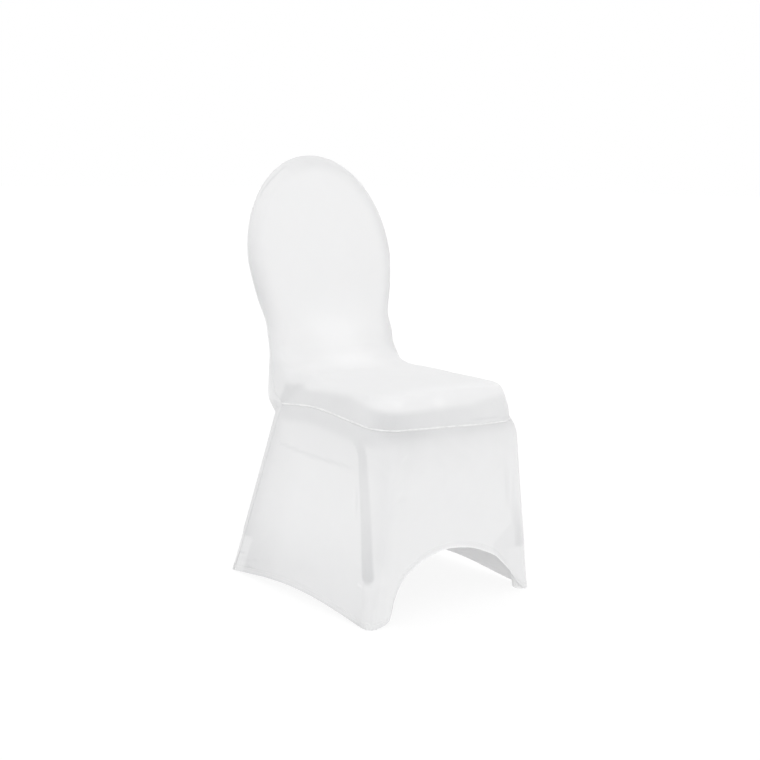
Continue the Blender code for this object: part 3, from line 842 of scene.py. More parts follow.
def skirt_grid():
    """Points of the skirt in rows from the seam down to the hem.

    Straight lines join the seam to the outline on the floor. With v the place
    down a line, 0 to 1, and w a share that is 1 at the middle of a side or of
    the front and 0 at its ends, the cloth draws in by bow sin(pi v) w. Below
    the front corners it stands out by SHOULDER u (1 - (1 - v / S)^2) up to
    v = S and by SHOULDER u (1 - v) / (1 - S) after it, with S the shoulder's
    share and u near 1 at a corner. The hem cuts each line off.
    """
    top = seat_seam()
    floor = np.column_stack([floor_outline(), np.zeros(len(top))])
    index = np.arange(len(top))
    from_end = np.minimum(index, len(top) - 1 - index)
    side = np.clip(from_end / SIDE_STEPS, 0.0, 1.0)
    even = np.clip((from_end - SIDE_STEPS - CORNER_STEPS) / (FRONT_STEPS / 2), 0.0, 1.0)
    front = np.arccos(1 - even) / (math.pi / 2)
    side_share = 1 - (2 * side - 1) ** 2
    front_share = evened(1 - (1 - front) ** 2, CORNER_ROUNDS)
    corner_share = evened((side * (1 - front)) ** SHOULDER_POWER, CORNER_ROUNDS)

    far_front = (index > len(top) / 2) & (side > 0.5)
    power = np.where(far_front, FAR_HEM_POWER, SIDE_HEM_POWER)
    side_hem = HEM_FOOT_Z + SIDE_HEM_RISE * side_share ** power
    hem = np.where(from_end > SIDE_STEPS, table(FRONT_HEM_ROWS, floor[:, 0]), side_hem)
    last = 1 - hem / top[:, 2]
    length = np.linalg.norm(floor - top, axis=1) * last
    near = 1 - np.array(HEM_STEPS)[::-1, None] / length[None, :]
    even_rows = np.linspace(0.0, 1.0, SKIRT_STEPS + 1)[:-1, None] * near[:1]
    v = np.concatenate([even_rows, near]) * last[None, :]

    above = 1 - np.clip(1 - v / SHOULDER_SHARE, 0.0, None) ** 2
    below = np.clip((1 - v) / (1 - SHOULDER_SHARE), 0.0, 1.0)
    bow = np.sin(math.pi * v) * (SIDE_BOW * side_share + FRONT_BOW * front_share)
    push = SHOULDER * corner_share * above * below - bow
    grid = top[None] + (floor - top)[None] * v[:, :, None]
    ahead = np.gradient(floor, axis=0)
    ahead /= np.linalg.norm(ahead, axis=1, keepdims=True)
    grid[:, :, 0] += push * ahead[:, 1]
    grid[:, :, 1] -= push * ahead[:, 0]
    return grid[::-1]


def pocket_grid(x, y, lean_x, lean_y):
    """Points of a foot pocket: rings from the middle of its sole up its wall.

    A ring at height z has its centre at (x + lean_x z, y + lean_y z). The sole
    is flat and turns up over a quarter circle. The wall has a few soft upright
    folds: r = R + 0.3 mm cos(3a + 1) cos(5a) that grow towards the top.
    """
    turn = np.linspace(0.0, 2 * math.pi, POCKET_TURN_STEPS + 1)
    sole = POCKET_RADIUS - POCKET_SOLE_ROUND
    rings = np.linspace(0.0, 1.0, POCKET_SOLE_RINGS)
    bend = rings[1:] * math.pi / 2
    below, out = np.array(POCKET_HEM_ROWS).T
    wall = np.linspace(POCKET_SOLE_ROUND, POCKET_HEIGHT - POCKET_HEM, POCKET_RISE_STEPS)[1:]
    heights = np.concatenate([
        rings * 0.0, POCKET_SOLE_ROUND * (1 - np.cos(bend)), wall, POCKET_HEIGHT - below])
    radii = np.concatenate([
        rings * sole, sole + POCKET_SOLE_ROUND * np.sin(bend), np.full_like(wall, POCKET_RADIUS),
        POCKET_RADIUS + out])
    fold = POCKET_FOLD * np.cos(3 * turn + 1) * np.cos(5 * turn) * smooth(*POCKET_FOLD_Z, heights)[:, None]
    radius = radii[:, None] + fold * (radii[:, None] > sole)
    height = heights[:, None] * np.ones_like(turn)
    across = x + lean_x * height + radius * np.cos(turn)
    back = y + lean_y * height + radius * np.sin(turn)
    return np.stack([across, back, height], axis=-1)


def foot_leans(place):
    """Sideways and forward run of a corner for each metre of height."""
    if place == "front":
        inset = SEAT_CORNER_RADIUS * (1 - DIAGONAL)
        reach = FOOT_ROUND * DIAGONAL
        run_x = SEAT_FRONT_HALF - inset - (FOOT_FRONT[0] + reach)
        run_y = SEAT_FRONT_Y + inset - (FOOT_FRONT[1] - reach)
        return run_x / FRONT_CORNER_Z, run_y / FRONT_CORNER_Z
    run_x = SEAT_REAR_HALF - (FOOT_REAR[0] + FOOT_ROUND)
    run_y = (SEAT_REAR_Y + BEND_END_REAR[1]) / 2 - (FOOT_REAR[1] + FOOT_ROUND / 2)
    return run_x / REAR_CORNER_Z, run_y / REAR_CORNER_Z


def pocket_grids():
    """Name and points of each foot pocket."""
    for place, foot in (("front", FOOT_FRONT), ("rear", FOOT_REAR)):
        lean_x, lean_y = foot_leans(place)
        for side, sign in (("right", -1), ("left", 1)):
            grid = pocket_grid(sign * foot[0], foot[1], sign * lean_x, lean_y)
            yield "foot_pocket_" + place + "_" + side, grid


def unit(vectors):
    """Vectors made one long."""
    return vectors / np.maximum(np.linalg.norm(vectors, axis=-1, keepdims=True), TINY)


def grid_normals(grid, closed=False):
    """Unit normals of a grid: its step along a row crossed with its step down a column.

    A closed grid's last row is its first one again, and the steps run over it.
    Where the grid closes to a point the cross is nothing, and the next column's
    normal is used instead. On the middle line a normal has no sideways part, so
    that both halves move alike.
    """
    down = np.gradient(grid, axis=0)
    if closed:
        down[0] = down[-1] = (grid[1] - grid[-2]) / 2
    cross = np.cross(np.gradient(grid, axis=1), down)
    normal = unit(cross)
    weak = np.linalg.norm(cross[:, 0], axis=1) < TINY
    normal[weak, 0] = normal[weak, 1]
    normal[np.abs(grid[..., 0]) < TINY, 0] = 0.0
    return unit(normal)


def outward(grid, row, direction, closed=False):
    """Normals of a grid, turned over if the one in the middle of a row faces the other way."""
    normal = grid_normals(grid, closed)
    sample = normal[row, normal.shape[1] // 2]
    return normal if sample @ np.array(direction) > 0 else -normal


def outer_normals(grid):
    """Normals of the outer back, which face rearwards."""
    return outward(grid, len(grid) // 2, BACK_NORMAL)


def skirt_normals(grid):
    """Normals of the skirt, which face out."""
    return outward(grid, len(grid) // 2, (0.0, -1.0, 0.0))


def run_distance(points, start, end):
    """Distance from points to a straight run, and their place along it from 0 to 1."""
    span = end - start
    place = np.clip((points - start) @ span / (span @ span), 0.0, 1.0)
    return np.linalg.norm(points - start - place[..., None] * span, axis=-1), place


def line_distance(points, path):
    """Distance from points to a path of straight runs, and the path's last column there."""
    path = np.asarray(path, dtype=float)
    best = np.full(points.shape[:-1], np.inf)
    value = np.zeros(points.shape[:-1])
    for start, end in zip(path[:-1], path[1:]):
        away, place = run_distance(points, start[:3], end[:3])
        nearer = away < best
        best = np.where(nearer, away, best)
        value = np.where(nearer, start[3] + place * (end[3] - start[3]), value)
    return best, value


def mirrored(path):
    """The same path on the far side."""
    return [(-row[0],) + tuple(row[1:]) for row in path]


def crease_height(points, creases):
    """Sum of soft ridges and troughs.

    Each is depth exp(-(d / width)^2) sin(pi t)^2, with d the distance to its
    line and t the place along it.
    """
    height = np.zeros(points.shape[:-1])
    for start, end, width, depth in creases:
        away, place = run_distance(points, np.array(start), np.array(end))
        height += depth * np.exp(-(away / width) ** 2) * np.sin(math.pi * place) ** 2
    return height


def bumps(points, rows):
    """Sum of broad soft bumps: height exp(-(dx/rx)^2 - (dy/ry)^2 - (dz/rz)^2)."""
    total = np.zeros(points.shape[:-1])
    for middle, reach, height in rows:
        away = (points - np.array(middle)) / np.array(reach)
        total += height * np.exp(-(away ** 2).sum(axis=-1))
    return total


def stripe_height(points):
    """How far the grey stripes stand out: ridge exp(-(d / half width)^2) strength."""
    height = np.zeros(points.shape[:-1])
    for path, _, _, half, part in STRIPES:
        for line in (path, mirrored(path)):
            away, strength = line_distance(points, line)
            height = np.maximum(height, part * strength * np.exp(-(away / half) ** 2))
    return height * sizes().stripe_ridge


def line_tone(points, path, core, edge):
    """Greyness of a stripe: its strength up to the core, fading to nothing at the edge."""
    away, strength = line_distance(points, path)
    return strength * (1 - smooth(core, edge, away))


def stripe_tone(points):
    """Greyness of all the stripes together, the darkest at each point."""
    tone = line_tone(points, FAR_CORNER_STRIPE, *FAR_STRIPE_WIDTHS)
    for path, core, edge, _, _ in STRIPES:
        for line in (path, mirrored(path)):
            tone = np.maximum(tone, line_tone(points, line, core, edge))
    return tone


def painted_rim_shade(points, to_edge):
    """Painted shade along the hood's rim: its strength by height, exp(-(d / width)^2) from the seam."""
    return table(RIM_SHADE_STRENGTH, points[..., 2]) * np.exp(-(to_edge / RIM_SHADE_WIDTH) ** 2)


def face_painted_shade(points, to_edge):
    """Painted shade round the hood's flat face, from the top to its far side.

    Strength by height, exp(-(e / fade)^2) with e the distance from where the face begins.
    """
    inward = np.maximum(to_edge - FACE_START, 0.0)
    over = smooth(*FACE_X, points[..., 0])
    return over * table(FACE_SHADE_STRENGTH, points[..., 2]) * np.exp(-(inward / FACE_FADE) ** 2)


def seam_height(from_edge, along):
    """Groove and puckers beside a plain seam.

    -groove exp(-(d / 2.2 mm)^2) + pucker cos(2 pi s / pitch + 2 sin(s / 31 mm))
    exp(-d / 7 mm) (1 + sin(s / 47 mm + 1.3)) / 2, with d the distance to the
    edge and s the distance along it.
    """
    size = sizes()
    groove = -size.seam_groove * np.exp(-(from_edge / 0.0022) ** 2)
    wave = np.cos(2 * math.pi * along / size.pucker_pitch + 2 * np.sin(along / 0.031))
    uneven = 0.5 + 0.5 * np.sin(along / 0.047 + 1.3)
    return groove + size.pucker * wave * uneven * np.exp(-from_edge / 0.007)


def hem_height(from_hem):
    """The hem's doubled cloth stands out by a step at the hem's width."""
    size = sizes()
    edge = (size.hem_width - HEM_STEP_HALF, size.hem_width + HEM_STEP_HALF)
    return size.hem_step * (1 - smooth(*edge, from_hem))


def flat_map(grid):
    """Texture coordinates in metres: distance along a row, and mean distance down a column."""
    across = run_length(grid, axis=1)
    down = run_length(grid, axis=0).mean(axis=1, keepdims=True)
    return np.stack([across, np.broadcast_to(down, across.shape)], axis=-1)


def developed_map(grid):
    """Texture coordinates in metres of a sheet made of rays.

    A point lies at its ray's arc length, in the ray's own direction, from the
    place of the ray's centre on the middle line: y + z, which runs rearwards on
    the seat and then up. Directions are measured across, and along that line.
    """
    along = run_length(grid, axis=1)
    first = unit(grid[:, 1] - grid[:, 0])
    place = grid[:, 0, 1] + grid[:, 0, 2]
    rise = np.sign(first[:, 2] + first[:, 1] * DIAGONAL) * np.hypot(first[:, 1], first[:, 2])
    return np.stack([along * first[:, :1], place[:, None] + along * rise[:, None]], axis=-1)


def finished(mesh, turn_out=False):
    """The mesh with its doubles merged, smooth, and its faces turned out if asked."""
    work = bmesh.new()
    work.from_mesh(mesh)
    bmesh.ops.remove_doubles(work, verts=work.verts, dist=MERGE_DISTANCE)
    if turn_out:
        bmesh.ops.recalc_face_normals(work, faces=work.faces)
    work.to_mesh(mesh)
    work.free()
    mesh.shade_smooth()
    return mesh


def cloth_mesh(name, grid, places, tone):
    """A mesh of quads on a grid, with a texture map and, as an attribute, the grey bands with the painted
    shade and light.
    """
    rows, columns = grid.shape[:2]
    corner = (np.arange(rows - 1)[:, None] * columns + np.arange(columns - 1)[None, :]).ravel()
    faces = np.column_stack([corner, corner + 1, corner + columns + 1, corner + columns])
    mesh = bpy.data.meshes.new(name)
    mesh.from_pydata(grid.reshape(-1, 3), [], faces)
    layer = mesh.uv_layers.new(name="cloth")
    layer.data.foreach_set("uv", places.reshape(-1, 2)[faces.ravel()].ravel().astype(np.float32))
    band = mesh.attributes.new("grey_band", "FLOAT", "POINT")
    band.data.foreach_set("value", np.clip(tone, -1.0, 1.0).ravel().astype(np.float32))
    return finished(mesh)


def add_piece(name, mesh, slot, *materials):
    """Put a mesh into the scene as a piece that rides on the only body."""
    for material in materials:
        mesh.materials.append(material)
    piece = bpy.data.objects.new(name, mesh)
    bpy.context.scene.collection.objects.link(piece)
    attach(piece, "root")
    return piece


def add_sheet(node, surface, slot, materials):
    """The cloth piece that stands for a node: its surface made thick inwards."""
    name = node + "_cloth"
    piece = add_piece(name, cloth_mesh(name, *surface), slot, *materials)
    wall = piece.modifiers.new("cloth_thickness", "SOLIDIFY")
    wall.thickness = sizes().cloth
    wall.offset = -1.0
    wall.use_even_offset = False
    # Inner faces take the second material: for the cover, its darker copy with painted shade
    wall.material_offset = 1
    wall.material_offset_rim = 0
    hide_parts(node)


class Nodes:
    """Short calls for building one material's nodes."""

    def __init__(self, name):
        self.material = bpy.data.materials.new(name)
        self.material.use_nodes = True
        self.tree = self.material.node_tree
        self.shader = self.tree.nodes["Principled BSDF"]
        self.place = self.tree.nodes.new("ShaderNodeTexCoord").outputs["Object"]

    def put(self, socket, value):
        """Link an output to a socket, or set the socket's own value."""
        if isinstance(value, bpy.types.NodeSocket):
            self.tree.links.new(value, socket)
        else:
            socket.default_value = value

    def feed(self, node, **values):
        """Put values into a node's inputs by name; _ stands for a space."""
        for key, value in values.items():
            self.put(node.inputs[key.replace("_", " ")], value)

    def maths(self, operation, *values):
        """One arithmetic step."""
        node = self.tree.nodes.new("ShaderNodeMath")
        node.operation = operation
        for socket, value in zip(node.inputs, values):
            self.put(socket, value)
        return node.outputs[0]

    def mix(self, part, first, second):
        """A colour between two colours."""
        node = self.tree.nodes.new("ShaderNodeMix")
        node.data_type = "RGBA"
        for index, value in ((0, part), (6, first), (7, second)):
            self.put(node.inputs[index], value)
        return node.outputs[2]

    def noise(self, scale, detail):
        """A soft cloud from 0 to 1."""
        node = self.tree.nodes.new("ShaderNodeTexNoise")
        self.feed(node, Vector=self.place, Scale=scale, Detail=detail)
        return node.outputs[0]

    def bump(self, height, strength, distance):
        """Normals of a fine relief."""
        node = self.tree.nodes.new("ShaderNodeBump")
        self.feed(node, Height=height, Strength=strength, Distance=distance)
        return node.outputs[0]


def rgba(colour, brightness=1.0):
    """A colour with an alpha, made brighter or darker."""
    return (colour[0] * brightness, colour[1] * brightness, colour[2] * brightness, 1.0)


def knit_material(name, base, banded):
    """White stretch knit: wales and courses in the bump, soft cloudiness, and the grey bands with painted
    shade and light.

    The wales are rounded ribs, |sin| of the distance across. The courses are a
    sine of the distance down, shifted by half a course from wale to wale. The
    band attribute greys the cloth where it is above 0, for the grey bands and
    painted shade, and lightens it below, for painted light and highlights.
    """
    nodes = Nodes(name)
    size, colour = sizes(), colours()
    cloth = nodes.tree.nodes.new("ShaderNodeUVMap")
    cloth.uv_map = "cloth"
    parts = nodes.tree.nodes.new("ShaderNodeSeparateXYZ")
    nodes.feed(parts, Vector=cloth.outputs[0])
    across = nodes.maths("MULTIPLY", parts.outputs[0], math.pi / size.wale_pitch)
    wale = nodes.maths("ABSOLUTE", nodes.maths("SINE", across))
    down = nodes.maths("MULTIPLY", parts.outputs[1], 2 * math.pi / size.course_pitch)
    course = nodes.maths("SINE", nodes.maths("ADD", down, across))
    weave = nodes.maths("MULTIPLY_ADD", course, COURSE_SHARE, wale)

    broad = nodes.noise(scale=7.0, detail=3.0)
    fine = nodes.noise(scale=420.0, detail=2.0)
    cloud = nodes.maths("MULTIPLY_ADD", broad, BROAD_CLOUD, nodes.maths("MULTIPLY", fine, FINE_CLOUD))
    tint = nodes.mix(cloud, rgba(base), rgba(base, CLOUD_DARKEST))
    # The attribute: grey bands and painted shade above 0, painted light and highlights below 0
    if banded:
        band = nodes.tree.nodes.new("ShaderNodeAttribute")
        band.attribute_name = "grey_band"
        grain = nodes.maths("MULTIPLY_ADD", fine, BAND_GRAIN, 1 - BAND_GRAIN / 2)
        grey = nodes.maths("MULTIPLY", nodes.maths("MAXIMUM", band.outputs["Fac"], 0.0), grain)
        light = nodes.maths("MAXIMUM", nodes.maths("MULTIPLY", band.outputs["Fac"], -1.0), 0.0)
        tint = nodes.mix(grey, tint, rgba(colour.shade))
        tint = nodes.mix(light, tint, rgba(base, LIGHTEST))
    rough = nodes.maths("MULTIPLY_ADD", fine, ROUGH_GRAIN, colour.roughness - ROUGH_GRAIN / 2)
    relief = nodes.bump(weave, strength=0.35, distance=0.00018)
    nodes.feed(
        nodes.shader, Base_Color=tint, Roughness=rough, Normal=relief, Sheen_Weight=colour.sheen,
        Sheen_Roughness=0.5, Specular_IOR_Level=0.25, Subsurface_Weight=colour.show_through,
        Subsurface_Radius=(1.0, 1.0, 1.0), Subsurface_Scale=0.0015)
    return nodes.material


def thread_material():
    """Polyester sewing thread, a little shinier than the knit, with a fine twist."""
    nodes = Nodes("thread")
    twist = nodes.noise(scale=1400.0, detail=1.0)
    base = colours().thread
    nodes.feed(
        nodes.shader, Base_Color=nodes.mix(twist, rgba(base), rgba(base, 0.86)), Roughness=0.5,
        Normal=nodes.bump(twist, strength=0.4, distance=0.0001), Sheen_Weight=0.1)
    return nodes.material


def material(name, make, *values):
    """The material of that name, made the first time it is asked for."""
    return bpy.data.materials.get(name) or make(*values)


def cover_cloths():
    """Outside of the cover's knit, and a darker copy with painted shade for its inside."""
    colour = colours()
    outside = material("cover_knit", knit_material, "cover_knit", colour.cloth, True)
    inside = material("cover_knit_inside", knit_material, "cover_knit_inside", colour.inside, False)
    return outside, inside


def pulled_in(grid, axis):
    """The grid with its last row or column drawn back along the sheet, off the seam line."""
    lines = np.moveaxis(grid.copy(), axis, 0)
    lines[-1] += unit(lines[-2] - lines[-1]) * SEAM_GAP
    return np.moveaxis(lines, 0, axis)


def blend(least, part):
    """From a least value up to 1 by a part from 0 to 1."""
    return least + (1 - least) * part


def bell(distance, reach):
    """exp(-(d / reach)^2)"""
    return np.exp(-(distance / reach) ** 2)


def seam_places(grid):
    """Distance from each point of a sheet of rays to its seam, and distance along the seam."""
    to_edge = run_length(grid[:, ::-1], axis=1)[:, ::-1]
    return to_edge, np.broadcast_to(run_length(grid[:, -1])[:, None], to_edge.shape)


def mottle(points, amount):
    """Soft unevenness of the cloth: products of sines of bent distances, so that no rows show."""
    x, y, z = (points[..., k] for k in range(3))
    x = x + 0.021 * np.sin(29 * z + 17 * y) + 0.006 * np.sin(83 * z - 61 * y + 1.1)
    z = z + 0.019 * np.sin(31 * x - 23 * y + 0.7) + 0.007 * np.sin(71 * x + 90 * y)
    broad = np.sin(47 * x + 31 * z + 1.0) * np.sin(39 * y - 52 * z + 0.4)
    middle = np.sin(123 * x - 61 * y + 20 * z) * np.sin(97 * z + 68 * y + 2.0)
    return amount * (broad + 0.8 * middle)


def hem_tone(from_hem, along):
    """Greyness of the overlocked edge: short dashes, 7.5 mm apart, along the last 5 mm of the hem."""
    dash = 0.5 + 0.5 * np.sin(2 * math.pi * along / 0.0075 + 1.2 * np.sin(along / 0.043))
    return (0.02 + 0.40 * dash) * (1 - smooth(*HEM_DASHES, from_hem))


def seat_tone(grid, to_edge, along, on_hood):
    """Greyness of the seat and inner back, with painted shade and painted light.

    Painted light makes the hood's face lighter inwards from its seam, most of all
    low down, and painted shade makes the seat's top greyer, more so to its front.
    The band above the seam, grey band and painted shade together, the painted
    shade of the far edge, the rims and the bend, the painted light patch on the
    hood's foot, the soft spots of painted shade and highlights and the painted
    shade of the folds come over that.
    """
    x, y, z = (grid[..., k] for k in range(3))
    row = np.arange(len(grid))[:, None]
    last = row >= len(grid) - BAND_OVERLAP
    place = np.where(last, 0.0, along)
    under = (row <= SEAT_ROWS + BAND_OVERLAP) | last
    under = under * (1 - smooth(*BAND_TOP_FADE, z - table(BAND_TOP, place)))
    under = under * (1 - smooth(*BAND_REAR_FADE, y - table(BAND_REAR, z)))
    above = 1 - under

    # Painted light on the hood's face, more of it low down
    low = bumps(grid, FACE_LOW_PAINTED_LIGHT) * smooth(*FACE_LOW_Z, z)
    hood = HOOD_GREY - (FACE_PAINTED_LIGHT + low) * (1 - bell(to_edge, FACE_PAINTED_LIGHT_WIDTH))
    # Painted shade on the seat's top, less at its front edge and to its rear
    front = SEAT_FRONT_PAINTED_SHADE * smooth(*SEAT_FRONT_FADE, y)
    front = front * (1 - SEAT_REAR_LOSS * smooth(*SEAT_REAR_FADE, y))
    tone = hood + (1 - smooth(*SEAT_END_Y, y)) * (SEAT_PAINTED_SHADE - hood + front)
    # The band above the seam: grey band and painted shade together
    tone = tone + (1 - tone) * under * table(SEAT_BAND_AND_SHADE_STRENGTH, place)
    far_edge_shade = FAR_EDGE_PAINTED_SHADE * bell(to_edge - FAR_EDGE_PLACE, FAR_EDGE_WIDTH) * smooth(*FAR_EDGE_X, x)
    tone = tone + far_edge_shade * above * (1 - on_hood)
    rim = painted_rim_shade(grid, to_edge * blend(RIM_LOW_SHARE, smooth(*RIM_NARROW_Z, z))) * smooth(*RIM_Y, y)
    tone = tone + above * (rim * (1 - np.maximum(tone, 0.0)) + bumps(grid, REAR_END_SHADE))
    tone = tone + face_painted_shade(grid, to_edge) * on_hood + mottle(grid, MOTTLE)

    # Painted light patch on the hood's foot
    sideways = x - LIGHT_PATCH_MIDDLE[0] - LIGHT_PATCH_LEAN * (LIGHT_PATCH_LEAN_Z - z)
    upwards = z - LIGHT_PATCH_MIDDLE[1]
    patch = np.exp(-(np.abs(sideways) ** 3 + np.abs(upwards) ** 3) / LIGHT_PATCH_HALF ** 3)
    tone = tone - PAINTED_LIGHT_PATCH * patch * smooth(*LIGHT_PATCH_Y, y)
    tone = tone + bumps(grid, BEND_SHADE) * smooth(*BEND_Y, y) * above * (1 - patch)
    folds = line_tone(grid, RIM_FOLD_SHADE, *RIM_FOLD_SHADE_WIDTHS) + line_tone(grid, SEAT_FOLD_SHADE, *SEAT_FOLD_SHADE_WIDTHS)
    return tone + bumps(grid, SEAT_SHADE_AND_HIGHLIGHTS) + folds


def seat_and_inner_surface():
    """Final points, texture places, and grey bands with painted shade and light, of the seat and inner
    back.
    """
    grid = inner_grid()
    normal = outward(grid, len(grid) // 4, (0.0, -1.0, 1.0), closed=True)
    to_edge, along = seam_places(grid)
    on_hood = np.clip(smooth(*ON_HOOD_Z, grid[..., 2]) + smooth(*ON_HOOD_Y, grid[..., 1]), 0.0, 1.0)
    bulge = bumps(grid, HOOD_BULGE)
    height = seam_height(to_edge, along) * blend(SEAT_PUCKERS, on_hood)
    height += crease_height(grid, SEAT_CREASES) + bulge + bumps(grid, SEAT_BUMPS + HOOD_BUMPS)
    height[:, 0] = bulge[:, 0]
    tone = seat_tone(grid, to_edge, along, on_hood)
    return pulled_in(grid + normal * height[..., None], axis=1), developed_map(grid), tone


def outer_tone(grid, to_edge):
    """Greyness of the outer back: stripes, painted shade at the rims, along the edges and low down, and the
    cloth below the seat.
    """
    z = grid[..., 2]
    below = 1 - smooth(*BELOW_SEAT_Z, z)
    low = table(LOW_PAINTED_SHADE, z) + BELOW_SEAT_GREY * below
    edge = table(REAR_EDGE_SHADE, to_edge + EDGE_START) * below
    # Painted shade along the rims above the seat
    rim = painted_rim_shade(grid, to_edge) * (1 - below)
    tone = np.maximum.reduce((stripe_tone(grid), bumps(grid, REAR_SEAT_SHADE), low, edge, rim))
    pocket = (1 - smooth(*REAR_POCKET_Z, z)) * (1 - smooth(*REAR_POCKET_EDGE, to_edge))
    foot = bell(z - REAR_FOOT_Z, REAR_FOOT_REACH) * bell(to_edge, REAR_FOOT_REACH)
    return tone * (1 - REAR_POCKET_LOSS * pocket) + REAR_FOOT_GREY * foot + mottle(grid, MOTTLE)


def outer_surface():
    """Final points, texture places, and grey bands with painted shade and light, of the outer back."""
    grid = outer_grid()
    to_edge, along = seam_places(grid)
    from_start = run_length(grid, axis=0)
    from_hem = np.minimum(from_start, from_start[-1][None] - from_start)
    hem = hem_height(from_hem)
    height = seam_height(to_edge, along) + crease_height(grid, OUTER_CREASES) + hem
    height += stripe_height(grid) + bumps(grid, HOOD_BUMPS)
    height[:, 0] = hem[:, 0]
    tone = outer_tone(grid, to_edge) + hem_tone(from_hem, run_length(grid, axis=1))
    moved = grid + outer_normals(grid) * height[..., None]
    return pulled_in(moved, axis=1), developed_map(grid), tone


def side_tone(grid, to_seam, rear_edge):
    """Greyness of the skirt's sides: the grey band and painted shade below the seam, painted shade along
    the rear edge, low down and at the seam's end.
    """
    low = table(LOW_PAINTED_SHADE, grid[..., 2]) + bumps(grid, SIDE_LOW_SHADE) * (grid[..., 0] < 0)
    tone = np.maximum(table(SIDE_BAND_AND_SHADE, to_seam), table(REAR_EDGE_SHADE, rear_edge)) + low
    return tone + SEAM_END_SHADE * bell(to_seam, SEAM_END_REACH[0]) * bell(rear_edge, SEAM_END_REACH[1])


def front_tone(grid, to_seam):
    """Greyness of the skirt's front: the grey band and painted shade below the seam, at both corners with
    painted shade at the far one, and outside the far slant.
    """
    x, z = grid[..., 0], grid[..., 2]
    near_gain, middle_loss, far_loss = FRONT_GAIN
    gain = near_gain - middle_loss * smooth(*FRONT_NEAR_X, x) - far_loss * smooth(*FRONT_FAR_X, x)
    gain = gain + (1.0 - gain) * bell(to_seam, FRONT_EVEN_REACH) * smooth(*FRONT_EVEN_X, x)
    everywhere, at_corner, corner_reach = CORNER_WASH
    near, _ = line_distance(grid, CORNER_EDGE)
    far, _ = line_distance(grid, mirrored(CORNER_EDGE))
    slant_x, slant_z, slant_rise = SLANT_START
    below_slant = smooth(*SLANT_FADE, slant_z + slant_rise * (x - slant_x) - z)
    return np.maximum.reduce((
        FRONT_GREY + (table(FRONT_BAND_AND_SHADE, to_seam) - FRONT_GREY) * gain,
        everywhere + at_corner * bell(near, corner_reach) * smooth(*CORNER_WASH_Z, z),
        FAR_CORNER_PAINTED_SHADE[0] * bell(far, FAR_CORNER_PAINTED_SHADE[1]),
        SLANT_GREY * below_slant * smooth(*SLANT_X, x),
    ))


def with_pockets(tone, grid, on_front, rear_edge):
    """The skirt's greyness with the foot pockets that lie behind it, their edges and marks."""
    x, y, z = (grid[..., k] for k in range(3))
    far = x > 0
    top = FRONT_POCKET_TOP[0] + FRONT_POCKET_TOP[1] * far
    reach = FRONT_POCKET_REACH[0] + FRONT_POCKET_REACH[1] * far
    foot = np.abs(np.abs(x) - FRONT_FOOT[0]) + np.abs(y - FRONT_FOOT[1])
    front = 1 - smooth(top - POCKET_TOP_HALF, top + POCKET_TOP_HALF, z)
    front = front * (1 - smooth(reach, reach + POCKET_SIDE_FADE, foot))
    on_side, front_loss, far_gain = FRONT_POCKET_GREY
    tone = tone + front * (on_side - front_loss * on_front + far_gain * far - tone)
    line = 1 - smooth(*POCKET_LINE_WIDTH, np.abs(y - POCKET_LINE[1]))
    tone = tone + POCKET_LINE[0] * front * line * (x < 0)
    over = (1 - smooth(*POCKET_MARK_Y, y)) * (1 - smooth(*POCKET_MARK_X, x))
    for below, width, grey in POCKET_MARKS:
        tone = tone + grey * over * bell(z - top + below, width)
    rear = (1 - smooth(*SIDE_POCKET_Z, z)) * (1 - smooth(*SIDE_POCKET_EDGE, rear_edge))
    even, rippled, pitch = SIDE_POCKET_GREY
    return tone + rear * (even + rippled * np.sin(rear_edge / pitch) - tone)


def skirt_tone(grid, from_hem, to_seam, rear_edge):
    """Greyness of the skirt, painted shade included: its sides and front, the stripes, the pockets and the
    hem's light edge.
    """
    index = np.arange(grid.shape[1])
    from_end = np.minimum(index, grid.shape[1] - 1 - index)
    on_front = smooth(0.0, 1.0, (from_end - SIDE_STEPS) / CORNER_STEPS)[None, :]
    tone = side_tone(grid, to_seam, rear_edge) * (1 - on_front) + front_tone(grid, to_seam) * on_front
    tone = with_pockets(np.maximum(tone, stripe_tone(grid)), grid, on_front, rear_edge)
    arch = on_front * smooth(*ARCH_Z_FADE, grid[..., 2]) * (1 - smooth(*ARCH_LINE_WIDTH, from_hem))
    even, more, reach = SKIRT_MOTTLE
    return tone + mottle(grid, even + more * on_front * bell(to_seam, reach)) - ARCH_LIGHT * arch


def skirt_surface():
    """Final points, texture places, and grey bands with painted shade and light, of the skirt.

    The hem's edge is scalloped: it rises by scallop |sin(s / 3.4 mm + 1.5 sin(s / 21 mm))|,
    with s the distance along it.
    """
    grid = skirt_grid()
    from_hem = run_length(grid, axis=0)
    to_seam = from_hem[-1][None] - from_hem
    along = run_length(grid, axis=1)
    rear_edge = np.minimum(along, along[:, -1:] - along)
    creases = crease_height(grid, SKIRT_CREASES)
    height = seam_height(rear_edge, to_seam) + SEAT_PUCKERS * seam_height(to_seam, along)
    height += hem_height(from_hem) + creases + stripe_height(grid) + bumps(grid, SKIRT_BUMPS)
    moved = grid + skirt_normals(grid) * height[..., None]
    scallop = sizes().hem_scallop * np.sin(along[0] / 0.0034 + 1.5 * np.sin(along[0] / 0.021))
    moved[..., 2] += np.abs(scallop)[None, :] * (1 - smooth(0.0, SCALLOP_HEIGHT, from_hem))
    tone = skirt_tone(grid, from_hem, to_seam, rear_edge) + hem_tone(from_hem, along)
    return pulled_in(moved, axis=0), flat_map(grid), tone - CREASE_SHADE * creases


